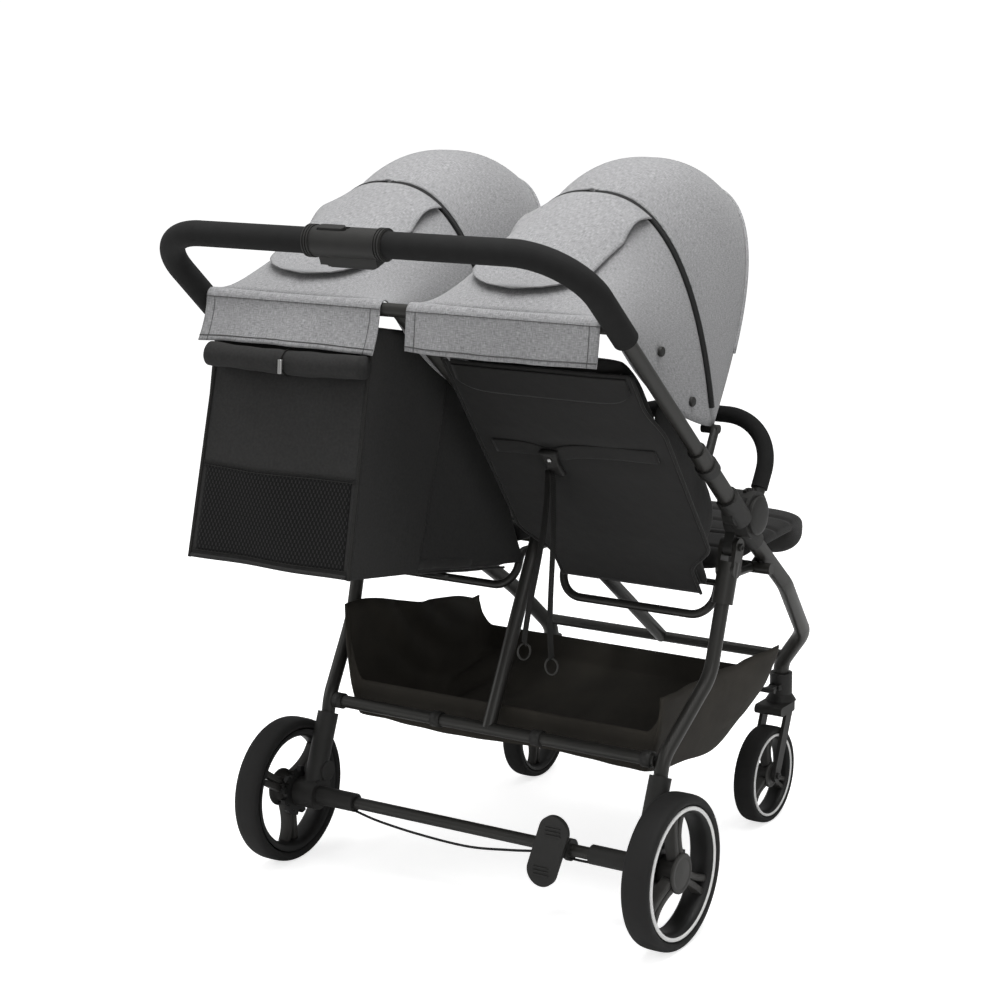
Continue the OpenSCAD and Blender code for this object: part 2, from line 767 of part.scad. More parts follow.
module hood_bow(s, half, reach, lean, q0) {
  steps = 22;
  sided(s) {
    arch_rod([for (i = [0 : steps]) arch(half, reach, lean, lerp(180 - q0, q0, i / steps))], bow_r);
    for (e = [-1, 1]) difference() {
      union() {
        across(hood_pin, hood_x + e * half - eye_t / 2, hood_x + e * half + eye_t / 2, eye_r);
        rod(at(hood_x + e * half, hood_pin), arch(half, reach, lean, e > 0 ? q0 * 1.6 : 180 - q0 * 1.6),
          bow_r * 0.9);
      }
      across(hood_pin, hood_x + e * half - eye_t, hood_x + e * half + eye_t, pin_r + run);
    }
  }
}

module hood_mid_bow(s) {
  hood_bow(s, mid_half, mid_reach - cloth - bow_skin - bow_r, mid_lean, 0.5);
}

module hood_front_bow(s) {
  hood_bow(s, front_half, front_reach - cloth - bow_skin - bow_r, front_lean, 0.5);
}

// Rear panel: a short flap behind the cross tube, over it, then cloth up to the middle bow
module hood_rear(s) {
  n = 16;
  m = 7;
  q0 = 1.6;
  drop = 56;
  out = s > 0 ? 17 : 38;
  step = 35;
  wraps = 4;
  top = (hood_bar_r + gap) / cos(step / 2) + cloth;
  lean_past = 0.35;
  lift = 9;
  bar_share = 0.98;
  over = function (x, w, r) [x, hood_bar_y - r * cos(w), hood_bar_z + r * sin(w)];
  pts = function (off) [for (i = [0 : n]) let (q = lerp(180 - q0, q0, i / n),
      b = arch(hood_half - off, mid_reach - off, mid_lean + lean_past, q),
      x = hood_x + (b[0] - hood_x) * bar_share, last = 90 - atan2(b[2] - hood_bar_z, b[1] - hood_bar_y)) concat(
    [[x, hood_bar_y - out + off, hood_bar_z - drop]],
    [for (k = [0 : wraps]) over(x, lerp(-step / 2, last, k / wraps), top - off)],
    [for (j = [1 : m]) let (t = j / m)
      lerp(over(x, last, top - off), b, t) + [0, 0, lift * sin(180 * t) * pow(sin(q), 0.5)]])];
  sided(s) grid_solid(pts(0), pts(cloth));
}

// Front panel: cloth domed between the two bows
module hood_front(s) {
  n = 20;
  m = 6;
  q0 = 1.6;
  pts = function (off) [for (i = [0 : n]) let (q = lerp(180 - q0, q0, i / n))
    [for (j = [0 : m]) let (t = j / m)
      arch(hood_half - off, lerp(mid_reach, front_reach, t) - off + hood_bulge * sin(180 * t),
        lerp(mid_lean - 0.1, front_lean, t), q)]];
  sided(s) grid_solid(pts(0), pts(cloth));
}

// Backrests. Local Y runs up the back from the hinge and local Z points out of its rear face

module on_back(slope) {
  translate([0, hinge_y, hinge_z]) rotate([180 - slope, 0, 0]) children();
}

function back_w(v) = lerp(foot_half, back_half, min(1, max(0, v * back_len / foot_len - 0.35)))
  * (1 - 0.1 * pow(max(0, (v - 0.86) / 0.14), 2));

module backrest(s, slope) {
  n = 12;
  m = 14;
  edge_share = 0.5;
  channel = 3;
  crown = function (u, v) (1 - pow(u, 8)) * (1 - pow(2 * v - 1, 10));
  rear = [for (i = [0 : n]) [for (j = [0 : m]) let (u = 2 * i / n - 1, v = j / m)
    [seat_x + u * back_w(v), lerp(back_start, back_len, v), back_rear - 5 * (1 - crown(u, v))]]];
  front = [for (i = [0 : n]) [for (j = [0 : m]) let (u = 2 * i / n - 1, v = j / m, c = crown(u, v))
    [seat_x + u * back_w(v), lerp(back_start, back_len, v),
      back_rear - back_t * lerp(edge_share, 1, c) + channel * c * pow(abs(sin(180 * v * 3.5)), 10)]]];
  sided(s) on_back(slope) grid_solid(rear, front);
}

// Shoulder straps with pads on the front, recline strap with its lock on the rear
module webbing(s, slope) {
  strap_w = 25;
  strap_t = 2.2;
  pad = [44, 120, 7];
  spread = 46;
  face = back_rear - back_t - gap;
  low = 96;
  long = 300;
  belt_y = 226;
  lock = [30, 46, 13];
  sided(s) on_back(slope) {
    for (e = [-1, 1]) {
      translate([seat_x + e * spread - strap_w / 2, low, face - strap_t]) cube([strap_w, long, strap_t]);
      translate([seat_x + e * spread, low + long - pad[1] / 2 - 20, face - strap_t - pad[2]])
        linear_extrude(height = pad[2] + gap) soft_square(pad[0], pad[1], 12);
    }
    translate([seat_x - back_half + 14, belt_y - strap_w / 2, back_rear + gap])
      cube([2 * back_half - 28, strap_w, strap_t]);
    translate([seat_x, belt_y, back_rear + gap + strap_t - gap]) linear_extrude(height = lock[2])
      soft_square(lock[0], lock[1], 9);
  }
}

// Points of the left backrest's slope in the side plane
function back_yz(y, z) = hinge +
  [-cos(slope_left) * y - sin(slope_left) * z, sin(slope_left) * y - cos(slope_left) * z];

// Extrudes a side-plane outline from x0 to x1
module side_plate(outline, x0, x1) {
  translate([x0, 0, 0]) rotate([90, 0, 90]) linear_extrude(height = x1 - x0) polygon(outline);
}

module vent_box_left() {
  low = back_yz(back_len + gap, back_rear);
  top = hood_bar + [-12, -24];
  front_top = hood_pin + [-73, 118];
  front_low = back_yz(66, back_rear);
  x0 = seat_x - back_half - gap - cloth;
  x1 = seat_x + back_half + gap + cloth;
  sided(-1) {
    side_plate([low, low + [-cloth, 0], top + [-cloth, 0], top], x0, x1);
    side_plate([low, top, front_top, front_low], x0, x0 + cloth);
    side_plate([low, top, front_top, front_low], x1 - cloth, x1);
  }
}

// Pieces of the rear frame, which swings forward as the handle folds

module rear_leg(s) {
  d = seg(shin_path, 0);
  ear_r = 13.6;
  cap_r = 16;
  cap_h = 62;
  down = 34;
  cap_lead = 2;
  end = pivot + [d[1], d[2]] * down;
  sided(s) {
    bent_tube(shin_path, tube_r, shin_bends);
    rod(shin_path[0] - d * cap_lead, shin_path[0] + d * cap_h, cap_r);
    link(pivot, end, ear_in, ear_in + ear_t, ear_r);
    link(pivot, end, ear_out - ear_t, ear_out, ear_r);
    across(pivot, ear_in - pin_head, ear_out + pin_head, pivot_pin_r);
  }
}

module rear_cross_frame() {
  bar_r = 10;
  end = shin_path[2][0] - tube_r - gap;
  eye = 13;
  x = cheek_in - gap;
  rod(at(-end, low_bar), at(end, low_bar), bar_r);
  difference() {
    union() {
      across(pivot, -x, x, eye);
      rod(at(0, pivot), at(0, low_bar), tube_r);
    }
    across(pivot, -x - past, x + past, pivot_pin_r + run);
  }
}

module rear_axle() {
  end = rear_x + 12;
  rod(at(-end, axle), at(end, axle), axle_r);
}

barrel_in = 218;
barrel_out = rear_x - rear_w / 2 - 2;
disc_r = 40;
pin_x = rear_x - rear_w / 2 + 4;
brake_pin_r = 3.4;

module wheel_housing(s) {
  barrel_r = 15;
  block_r = 24;
  sleeve = 17;
  sleeve_len = 36;
  block_w = 40;
  lump = axle + [22, 34];
  lump_half = 18;
  guide = [12, 20, 22];
  guide_off = disc_r + 4;
  root = 6;
  d = seg(shin_path, 2);
  sided(s) difference() {
    union() {
      across(axle, barrel_in, barrel_out, barrel_r);
      across(axle, barrel_out - block_w, barrel_out, block_r);
      rod(at(housing_x, axle), shin_path[3] - d * sleeve_len, sleeve);
      across(lump, housing_x - lump_half, housing_x + lump_half, sleeve);
      translate([barrel_out - root, axle_y + guide_off, axle_z - guide[2] / 2])
        cube([pin_x + guide[0] / 2 - barrel_out + root, guide[1], guide[2]]);
      translate([barrel_out - 2 * root, axle_y, axle_z - guide[2] / 2])
        cube([2 * root, guide_off + guide[1], guide[2]]);
    }
    across(axle, barrel_in - past, barrel_out + past, axle_r + run);
    rod(shin_path[3] - d * (sleeve_len + past), shin_path[3] + d * gap, tube_r + run);
    translate([pin_x, axle_y, axle_z]) rotate([-90, 0, 0]) cylinder(r = brake_pin_r + run, h = rear_r);
  }
}

pedal_x = 155;
pedal_half = 22;

bracket_t = 7;
bracket_out = pedal_half + bracket_t;

module brake_bracket() {
  r = 17;
  for (e = [-1, 1]) difference() {
    across(axle, pedal_x + e * (pedal_half + bracket_t / 2) - bracket_t / 2,
      pedal_x + e * (pedal_half + bracket_t / 2) + bracket_t / 2, r);
    across(axle, pedal_x - 2 * pedal_half, pedal_x + 2 * pedal_half, axle_r + run);
  }
}

module brake_pedal() {
  w = pedal_half - gap;
  ring_r = 15;
  lobe_r = 25;
  lobe_t = 8;
  lobe_off = 11;
  reach = 33;
  back = 19;
  neck = 26;
  rib = [26, 3, 2];
  rib_step = 6;
  difference() {
    union() {
      across(axle, pedal_x - w, pedal_x + w, ring_r);
      translate([pedal_x, axle_y - back, axle_z]) rotate([90, 0, 0]) linear_extrude(height = lobe_t)
        hull() for (e = [-1, 1]) translate([e * lobe_off, e * reach]) circle(r = lobe_r);
      translate([pedal_x - neck / 2, axle_y - back - tuck, axle_z - ring_r / 2]) cube([neck, back, ring_r]);
      for (e = [-1, 1], i = [-1 : 1])
        translate([pedal_x + e * lobe_off - rib[0] / 2, axle_y - back - lobe_t - rib[1] / 2,
          axle_z + e * reach + i * rib_step - rib[2] / 2]) cube(rib);
    }
    across(axle, pedal_x - 2 * w, pedal_x + 2 * w, axle_r + run);
  }
}

module brake_cable() {
  r = 2;
  hang = [-8, -19];
  foot = axle + [-4, -12];
  sag = 10;
  near_x = pedal_x - 2 * pedal_half;
  far_in = 50;
  bend = 40;
  start = bracket_out + gap;
  bent_tube([at(pedal_x - start, foot), at(near_x - pedal_half, axle + hang), at(0, axle + hang - [0, sag]),
    at(-barrel_in + far_in, axle + hang), at(-barrel_in + gap, foot)], r, bend);
  rod(at(pedal_x + start, foot), at(barrel_in - gap, foot), r);
}

module brake_pins() {
  tip = disc_r + 1.5;
  long = 30;
  for (s = [-1, 1]) sided(s)
    translate([pin_x, axle_y + tip, axle_z]) rotate([-90, 0, 0]) cylinder(r = brake_pin_r, h = long);
}

// Wheels, drawn about their own axle along X

module tyre(r, w) {
  ring = r * (1 - rim_share);
  rotate([0, 90, 0]) rotate_extrude() translate([r - ring / 2, 0])
    soft_square(ring, w, min(ring, w) * 0.42);
}

// Rim with a deep barrel, three slotted spokes, a hub and a raised band on its outer edge
module rim(r, w, hub_share, outer) {
  edge = r * rim_share - gap / 4;
  wall = r * 0.1;
  spoke = [w * 0.3, r * 0.3];
  slot = r * 0.09;
  band = 1.2;
  rotate([0, 90, 0]) {
    rotate_extrude() translate([edge - wall / 2, 0]) square([wall, w * 0.9], center = true);
    rotate_extrude() translate([edge - wall / 4, outer * w * 0.45])
      square([wall / 2, 2 * band], center = true);
    cylinder(r = r * hub_share, h = w * 0.86, center = true);
    difference() {
      for (a = [30 : 120 : 270]) rotate([0, 0, a]) translate([edge / 2, 0, outer * w * 0.12])
        cube([edge - wall, spoke[1], spoke[0]], center = true);
      for (a = [30 : 120 : 270]) rotate([0, 0, a]) for (d = [0.4, 0.7])
        translate([edge * d, 0, 0]) cylinder(r = slot, h = 2 * w, center = true);
      for (a = [30 : 120 : 270]) rotate([0, 0, a]) translate([edge * 0.55, 0, 0])
        cube([edge * 0.3, 2 * slot, 2 * w], center = true);
    }
  }
}

module rear_tyre(s) {
  sided(s) translate(at(rear_x, axle)) tyre(rear_r, rear_w);
}

module rear_rim(s) {
  teeth = 12;
  disc_t = 8;
  depth = 8;
  blind = rear_x + 12 + gap;
  sided(s) difference() {
    union() {
      translate(at(rear_x, axle)) rim(rear_r, rear_w, 0.2, 1);
      across(axle, pin_x - disc_t / 2, pin_x + disc_t / 2, disc_r);
      across(axle, pin_x - 5, rear_x, rear_r * 0.2);
    }
    across(axle, barrel_out - past, blind, axle_r + run);
    for (i = [0 : teeth - 1]) translate([pin_x, axle_y, axle_z]) rotate([360 * i / teeth, 0, 0])
      translate([0, 0, disc_r - depth]) cylinder(r = brake_pin_r + 1, h = depth + past);
  }
}

arm_t = 6.5;
arm_in = front_w / 2 + gap;
bolt_r = 5;

module front_fork(s) {
  crown_h = 16;
  crown_z = socket_z - gap - crown_h;
  stem_h = 28;
  disc = 24;
  arm_r = 11;
  arm_back = 14;
  crown_back = 42;
  side = arm_in + arm_t;
  c = [swivel_y - arm_back, crown_z + crown_h - arm_r];
  low = [front_y, front_z];
  sided(s) {
    translate([front_x, swivel_y, crown_z]) cylinder(r = disc, h = crown_h);
    translate([front_x, swivel_y, crown_z]) cylinder(r = stem_r, h = crown_h + gap + stem_h);
    translate([front_x - side, swivel_y - crown_back, crown_z]) cube([2 * side, crown_back + past, crown_h]);
    across([swivel_y - crown_back, crown_z + crown_h / 2], front_x - side, front_x + side, crown_h / 2);
    for (e = [-1, 1]) {
      x = front_x + e * (arm_in + arm_t / 2) - arm_t / 2;
      link(c, low, x, x + arm_t, arm_r);
    }
    across(low, front_x - side - past, front_x + side + past, bolt_r);
  }
}

module front_tyre(s) {
  sided(s) translate([front_x, front_y, front_z]) tyre(front_r, front_w);
}

module front_rim(s) {
  sided(s) difference() {
    translate([front_x, front_y, front_z]) rim(front_r, front_w, 0.24, 1);
    across([front_y, front_z], front_x - front_w, front_x + front_w, bolt_r + run);
  }
}

// Colours
plastic = [0.13, 0.13, 0.12];
metal = [0.17, 0.17, 0.15];
black = [0.05, 0.05, 0.05];
grey = [0.55, 0.55, 0.56];

translate([0, shift_y, 0]) {
  color(plastic) front_hub(-1);  // front_hub_left
  color(plastic) front_hub(1);  // front_hub_right
  color(metal) front_leg(-1);  // front_leg_left
  color(metal) front_leg(1);  // front_leg_right
  color(plastic) caster_sockets();
  color(metal) seat_frame();
  color(plastic) mid_hub();
  color(black) seat_pad(-1);  // seat_pad_left
  color(black) seat_pad(1);  // seat_pad_right
  color(black) harness_buckles();
  color(black) basket();
  color(black) bumper(-1);  // bumper_left
  color(black) bumper(1);  // bumper_right
  color(black) leg_rest(-1);  // leg_rest_left
  color(black) leg_rest(1);  // leg_rest_right
  color(metal) handle_tube();
  color(plastic) upper_hub(-1);  // upper_hub_left
  color(plastic) upper_hub(1);  // upper_hub_right
  color(black) handle_grips();
  color(plastic) fold_housing();
  color(plastic) fold_trigger();
  color(plastic) fold_slider();
  color(metal) hood_crossbar();
  color(metal) mid_tube();
  color(plastic) hood_clips();
  color(grey) hood_rear(-1);  // hood_rear_left
  color(grey) hood_rear(1);  // hood_rear_right
  color(grey) hood_front(-1);  // hood_front_left
  color(grey) hood_front(1);  // hood_front_right
  color(black) hood_mid_bow(-1);  // hood_mid_bow_left
  color(black) hood_mid_bow(1);  // hood_mid_bow_right
  color(black) hood_front_bow(-1);  // hood_front_bow_left
  color(black) hood_front_bow(1);  // hood_front_bow_right
  color(black) backrest(-1, slope_left);  // backrest_left
  color(black) backrest(1, slope_right);  // backrest_right
  color(black) webbing(-1, slope_left);  // webbing_left
  color(black) webbing(1, slope_right);  // webbing_right
  color(black) vent_box_left();
  color(metal) rear_leg(-1);  // rear_leg_left
  color(metal) rear_leg(1);  // rear_leg_right
  color(metal) rear_cross_frame();
  color(metal) rear_axle();
  color(plastic) wheel_housing(-1);  // wheel_housing_left
  color(plastic) wheel_housing(1);  // wheel_housing_right
  color(plastic) brake_bracket();
  color(plastic) brake_pedal();
  color(black) brake_cable();
  color(metal) brake_pins();
  color(black) rear_tyre(-1);  // rear_tyre_left
  color(black) rear_tyre(1);  // rear_tyre_right
  color(plastic) rear_rim(-1);  // rear_rim_left
  color(plastic) rear_rim(1);  // rear_rim_right
  color(plastic) front_fork(-1);  // front_fork_left
  color(plastic) front_fork(1);  // front_fork_right
  color(black) front_tyre(-1);  // front_tyre_left
  color(black) front_tyre(1);  // front_tyre_right
  color(plastic) front_rim(-1);  // front_rim_left
  color(plastic) front_rim(1);  // front_rim_right
  color(plastic) swivel_lock(-1);  // swivel_lock_left
  color(plastic) swivel_lock(1);  // swivel_lock_right
}
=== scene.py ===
"""Looks of the twin pram: a side-by-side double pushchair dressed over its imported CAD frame."""
import math

import bpy
import numpy as np
from mathutils import Matrix, Vector


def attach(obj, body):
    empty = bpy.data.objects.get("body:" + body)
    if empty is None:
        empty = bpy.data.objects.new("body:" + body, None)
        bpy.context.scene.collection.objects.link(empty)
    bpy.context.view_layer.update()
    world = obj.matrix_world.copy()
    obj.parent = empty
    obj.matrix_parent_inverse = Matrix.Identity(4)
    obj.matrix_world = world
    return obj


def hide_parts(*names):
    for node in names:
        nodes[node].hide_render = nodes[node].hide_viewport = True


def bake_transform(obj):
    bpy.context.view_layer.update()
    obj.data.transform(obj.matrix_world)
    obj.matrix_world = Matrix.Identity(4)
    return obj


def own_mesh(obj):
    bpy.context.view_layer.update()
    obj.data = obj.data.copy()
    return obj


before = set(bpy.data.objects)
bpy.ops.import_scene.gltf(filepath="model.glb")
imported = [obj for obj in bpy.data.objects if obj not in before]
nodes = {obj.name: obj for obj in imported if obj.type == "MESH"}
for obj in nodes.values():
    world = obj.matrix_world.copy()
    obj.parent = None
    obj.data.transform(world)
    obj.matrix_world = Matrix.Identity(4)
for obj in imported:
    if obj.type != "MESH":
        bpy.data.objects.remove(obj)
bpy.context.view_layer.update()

# Studio: a pale floor, a soft box overhead and the camera where the photograph was taken from,
# behind the right rear wheel and a little above the handle.
view = bpy.context.scene.view_settings
view.view_transform = "Standard"
camera_at = Vector((1.9164, -3.0366, 1.3969))
looks_at = Vector((-0.04775, 0.0, 0.5973))
ahead = (looks_at - camera_at).normalized()
right = ahead.cross(Vector((0, 0, 1))).normalized()
upward = right.cross(ahead)
roll = math.radians(-0.61)
right, upward = (math.cos(roll) * right + math.sin(roll) * upward,
                 -math.sin(roll) * right + math.cos(roll) * upward)
camera = bpy.data.objects.new("camera", bpy.data.cameras.new("camera"))
camera.data.lens, camera.data.sensor_width = 85.04, 36.0
camera.data.clip_end = 400
camera.matrix_world = Matrix(((right.x, upward.x, -ahead.x, camera_at.x),
                              (right.y, upward.y, -ahead.y, camera_at.y),
                              (right.z, upward.z, -ahead.z, camera_at.z), (0, 0, 0, 1)))
bpy.context.scene.collection.objects.link(camera)
bpy.context.scene.camera = camera


class Wire:
    """One output of a material's nodes. Sums and products with it add Math nodes to the same material."""

    def __init__(self, tree, socket):
        self.tree, self.socket = tree, socket

    def node(self, kind, ins=None, out=0, **settings):
        """Adds a node of that kind, its settings first and its inputs next, and gives the wire of one output."""
        made = self.tree.nodes.new("ShaderNode" + kind)
        for key, value in settings.items():
            setattr(made, key, value)
        for key, value in (ins or {}).items():
            if isinstance(value, Wire):
                self.tree.links.new(value.socket, made.inputs[key])
            else:
                made.inputs[key].default_value = value
        return Wire(self.tree, made.outputs[out])

    def math(self, operation, *others):
        """A Math node on this wire and up to two more values or wires."""
        return self.node("Math", dict(enumerate((self, *others))), operation=operation)

    def noise(self, scale, detail):
        """Cloudy noise over these coordinates."""
        return self.node("TexNoise", {"Vector": self, "Scale": scale, "Detail": detail})

    def part(self, axis):
        """One component of a vector."""
        return self.node("SeparateXYZ", {"Vector": self}, out=axis)

    def bump(self, height, strength, distance, under=None):
        """A normal raised by a height, on top of another normal where one is given."""
        ins = {"Height": height, "Strength": strength, "Distance": distance}
        return self.node("Bump", ins if under is None else {**ins, "Normal": under})

    def blend(self, low, high):
        """A colour that goes from low to high as this wire goes from 0 to 1."""
        mixed = self.tree.nodes.new("ShaderNodeMix")
        mixed.data_type = "RGBA"
        self.tree.links.new(self.socket, mixed.inputs["Factor"])
        first_colour, second_colour, colour_out = 6, 7, 2
        mixed.inputs[first_colour].default_value = (*low, 1)
        mixed.inputs[second_colour].default_value = (*high, 1)
        return Wire(self.tree, mixed.outputs[colour_out])

    def __add__(self, other):
        return self.math("ADD", other)

    __radd__ = __add__

    def __mul__(self, other):
        return self.math("MULTIPLY", other)

    __rmul__ = __mul__

    def __gt__(self, other):
        return self.math("GREATER_THAN", other)

    def __lt__(self, other):
        return self.math("LESS_THAN", other)


def new_finish(name, **shader):
    """A material with one Principled shader, the constants set on its sockets, and the wire of its coordinates."""
    material = bpy.data.materials.new(name)
    material.use_nodes = True
    tree = material.node_tree
    body = tree.nodes["Principled BSDF"]
    body.inputs["Specular IOR Level"].default_value = 0.25
    for key, value in shader.items():
        socket = body.inputs[key.replace("_", " ")]
        socket.default_value = (*value, 1) if isinstance(value, tuple) else value
    place = tree.nodes.new("ShaderNodeTexCoord")
    return material, body, Wire(tree, place.outputs["Object"]), Wire(tree, place.outputs["UV"])


def feed(body, socket, wire):
    """Joins a wire to one input of the shader."""
    wire.tree.links.new(wire.socket, body.inputs[socket])


floor_tone, floor_half, floor_glow = (0.93, 0.93, 0.93), 150.0, 0.72
floor_finish, floor_body, floor_at, _ = new_finish("studio_floor", Base_Color=floor_tone, Roughness=0.9)
floor_body.inputs["Specular IOR Level"].default_value = 0.0
floor_body.inputs["Emission Strength"].default_value = floor_glow
feed(floor_body, "Emission Color", floor_at.node("LightPath", out="Is Camera Ray"))
floor_mesh = bpy.data.meshes.new("floor")
floor_mesh.from_pydata([(-floor_half, -floor_half, 0), (floor_half, -floor_half, 0), (floor_half, floor_half, 0),
                        (-floor_half, floor_half, 0)], [], [(0, 1, 2, 3)])
floor_mesh.materials.append(floor_finish)
floor = bpy.data.objects.new("floor", floor_mesh)
bpy.context.scene.collection.objects.link(floor)

world = bpy.data.worlds.new("studio")
world.use_nodes = True
bpy.context.scene.world = world
sky_light, sky_seen = 0.36, 0.64
sky = world.node_tree.nodes["Background"]
rays = world.node_tree.nodes.new("ShaderNodeLightPath")
seen = Wire(world.node_tree, rays.outputs["Is Camera Ray"])
world.node_tree.links.new((seen * sky_seen + sky_light).socket, sky.inputs["Strength"])
sky.inputs["Color"].default_value = (1, 1, 1, 1)
for name, place, aim, power, side in (("softbox_over", (0.3, -0.5, 3.6), (0, 0, 0.4), 112, 2.4),
                                      ("softbox_camera", (2.6, -2.4, 2.2), (0, 0, 0.6), 17, 1.8),
                                      ("softbox_left", (-3.0, -1.4, 1.8), (0, 0, 0.6), 18, 1.8)):
    lamp = bpy.data.lights.new(name, "AREA")
    lamp.energy, lamp.size = power, side
    holder = bpy.data.objects.new(name, lamp)
    holder.location = place
    holder.rotation_euler = (Vector(aim) - Vector(place)).to_track_quat("-Z", "Y").to_euler()
    bpy.context.scene.collection.objects.link(holder)

# Frame tubes: drawn aluminium, bent cold and powder-coated a warm gunmetal. The coat has a faint orange peel
# and is a little more polished where hands and boxes have rubbed it.
coat_tone, worn_tone = (0.022, 0.0215, 0.0195), (0.036, 0.035, 0.032)
coat, coat_body, coat_at, _ = new_finish("satin_powder_coat", Metallic=0.35, Roughness=0.42, Specular_IOR_Level=0.5)
cloudy = coat_at.noise(9.0, 4.0)
feed(coat_body, "Base Color", cloudy.blend(coat_tone, worn_tone))
feed(coat_body, "Roughness", cloudy * 0.16 + 0.3)
peel = coat_at.noise(1500.0, 1.0)
feed(coat_body, "Normal", coat_at.bump(peel, 0.12, 0.0004))


def dress(finish, *names):
    """Gives CAD nodes their finish in place of the plain one they come with."""
    for name in names:
        nodes[name].data.materials.clear()
        nodes[name].data.materials.append(finish)


dress(coat, "handle_tube", "hood_crossbar", "mid_tube", "seat_frame", "front_leg_left", "front_leg_right",
      "rear_leg_left", "rear_leg_right", "rear_cross_frame", "rear_axle")

# Moulded fittings: glass-filled nylon hubs, sockets, forks, housings and the fold unit, black-grey with a fine
# spark-eroded grain and slightly paler edges where the grain has worn.
mould_tone, scuffed_tone = (0.017, 0.0168, 0.016), (0.03, 0.0295, 0.028)
mould, mould_body, mould_at, _ = new_finish("moulded_nylon", Roughness=0.55)
scuffs = mould_at.node("TexNoise", {"Vector": mould_at, "Scale": 26.0, "Detail": 6.0, "Roughness": 0.7})
feed(mould_body, "Base Color", scuffs.blend(mould_tone, scuffed_tone))
feed(mould_body, "Roughness", scuffs * 0.25 + 0.38)
grain = mould_at.node("TexVoronoi", {"Vector": mould_at, "Scale": 1100.0})
feed(mould_body, "Normal", mould_at.bump(grain, 0.18, 0.0004))
dress(mould, "front_hub_left", "front_hub_right", "caster_sockets", "mid_hub", "upper_hub_left", "upper_hub_right",
      "fold_housing", "fold_trigger", "fold_slider", "hood_clips", "hood_mid_bow_left", "hood_mid_bow_right",
      "hood_front_bow_left", "hood_front_bow_right", "wheel_housing_left", "wheel_housing_right", "brake_bracket",
      "brake_pedal", "front_fork_left", "front_fork_right", "swivel_lock_left", "swivel_lock_right", "harness_buckles")
steel, steel_body, steel_at, _ = new_finish("zinc_steel", Base_Color=(0.5, 0.5, 0.49), Metallic=1.0, Roughness=0.3)
brushed = steel_at.noise(700.0, 3.0)
feed(steel_body, "Roughness", brushed * 0.3 + 0.18)
dress(steel, "brake_pins")

# Brake cables: two thin sheathed wires from the pedal's bracket to the wheel housings. The long one hangs
# a little below the axle; both go into the plastic at each end.
cable_r, cable_y = 0.002, -0.176


def smooth_line(points, count):
    """Points spread evenly along a Catmull-Rom curve through the given ones."""
    p = np.asarray(points, float)
    q = np.vstack([2 * p[0] - p[1], p, 2 * p[-1] - p[-2]])
    t = np.linspace(0, len(p) - 1 - 1e-9, 40 * len(p))
    i, f = t.astype(int), (t % 1)[:, None]
    a, b, c, d = q[i], q[i + 1], q[i + 2], q[i + 3]
    line = 0.5 * (2 * b + (c - a) * f + (2 * a - 5 * b + 4 * c - d) * f ** 2 + (3 * b - a - 3 * c + d) * f ** 3)
    run = np.concatenate([[0], np.cumsum(np.linalg.norm(np.diff(line, axis=0), axis=1))])
    even = np.linspace(0, run[-1], count)
    return np.stack([np.interp(even, run, line[:, k]) for k in range(3)], 1)


def lay_grid(name, points, finish, body, closed=False, capped=False, smooth=True, wall=0.0, grow=0.0):
    """A sheet of quads over an (n, m, 3) grid of points, its second way closed into a ring where asked, with UVs in
    metres along both ways. wall gives it thickness and grow says to which side."""
    p = np.asarray(points, float)
    n, m = p.shape[:2]
    cell = np.arange(n * m).reshape(n, m)
    across = np.concatenate([cell, cell[:, :1]], 1) if closed else cell
    quads = np.stack([across[:-1, :-1], across[1:, :-1], across[1:, 1:], across[:-1, 1:]], -1).reshape(-1, 4)
    faces = quads.tolist()
    if capped:
        faces += [cell[0].tolist(), cell[-1, ::-1].tolist()]
    mesh = bpy.data.meshes.new(name)
    mesh.from_pydata(p.reshape(-1, 3), [], faces)
    ring = np.concatenate([p, p[:, :1]], 1)
    along = np.concatenate([[0], np.cumsum(np.linalg.norm(np.diff(p, axis=0), axis=2).max(1))])
    round_ = np.concatenate([[0], np.cumsum(np.linalg.norm(np.diff(ring, axis=1), axis=2).max(0))])
    corner = np.empty(len(mesh.loops), np.int64)
    mesh.loops.foreach_get("vertex_index", corner)
    u, v = along[corner // m], round_[corner % m]
    if closed:
        count = len(quads) * 4
        last = np.zeros(len(corner), bool)
        last[:count] = ((np.arange(count) // 4) % m) == m - 1
        last &= corner % m == 0
        v = np.where(last, round_[-1], v)
    layer = mesh.uv_layers.new(name="UVMap")
    layer.data.foreach_set("uv", np.stack([u, v], 1).astype(np.float32).ravel())
    mesh.polygons.foreach_set("use_smooth", np.full(len(mesh.polygons), smooth))
    mesh.materials.append(finish)
    piece = bpy.data.objects.new(name, mesh)
    bpy.context.scene.collection.objects.link(piece)
    if wall:
        skin = piece.modifiers.new("wall", "SOLIDIFY")
        skin.thickness, skin.offset = wall, grow
    if body:
        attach(piece, body)
    return piece


def carry(name, line, profile, finish, body, lead=(0, 0, 1), scale=None, capped=True):
    """A closed profile (k, 2) carried along a line of points: its first axis lies across the line and lead, its
    second across both. scale grows or shrinks it from point to point."""
    line = np.asarray(line, float)
    way = np.gradient(line, axis=0)
    way /= np.linalg.norm(way, axis=1, keepdims=True)
    lead = np.broadcast_to(np.asarray(lead, float), line.shape)
    flat = np.cross(way, lead)
    flat /= np.linalg.norm(flat, axis=1, keepdims=True)
    rise = np.cross(flat, way)
    size = np.ones(len(line)) if scale is None else np.asarray(scale, float)
    k = np.asarray(profile, float)
    grid = line[:, None] + size[:, None, None] * (k[None, :, :1] * flat[:, None] + k[None, :, 1:] * rise[:, None])
    return lay_grid(name, grid, finish, body, closed=True, capped=capped)


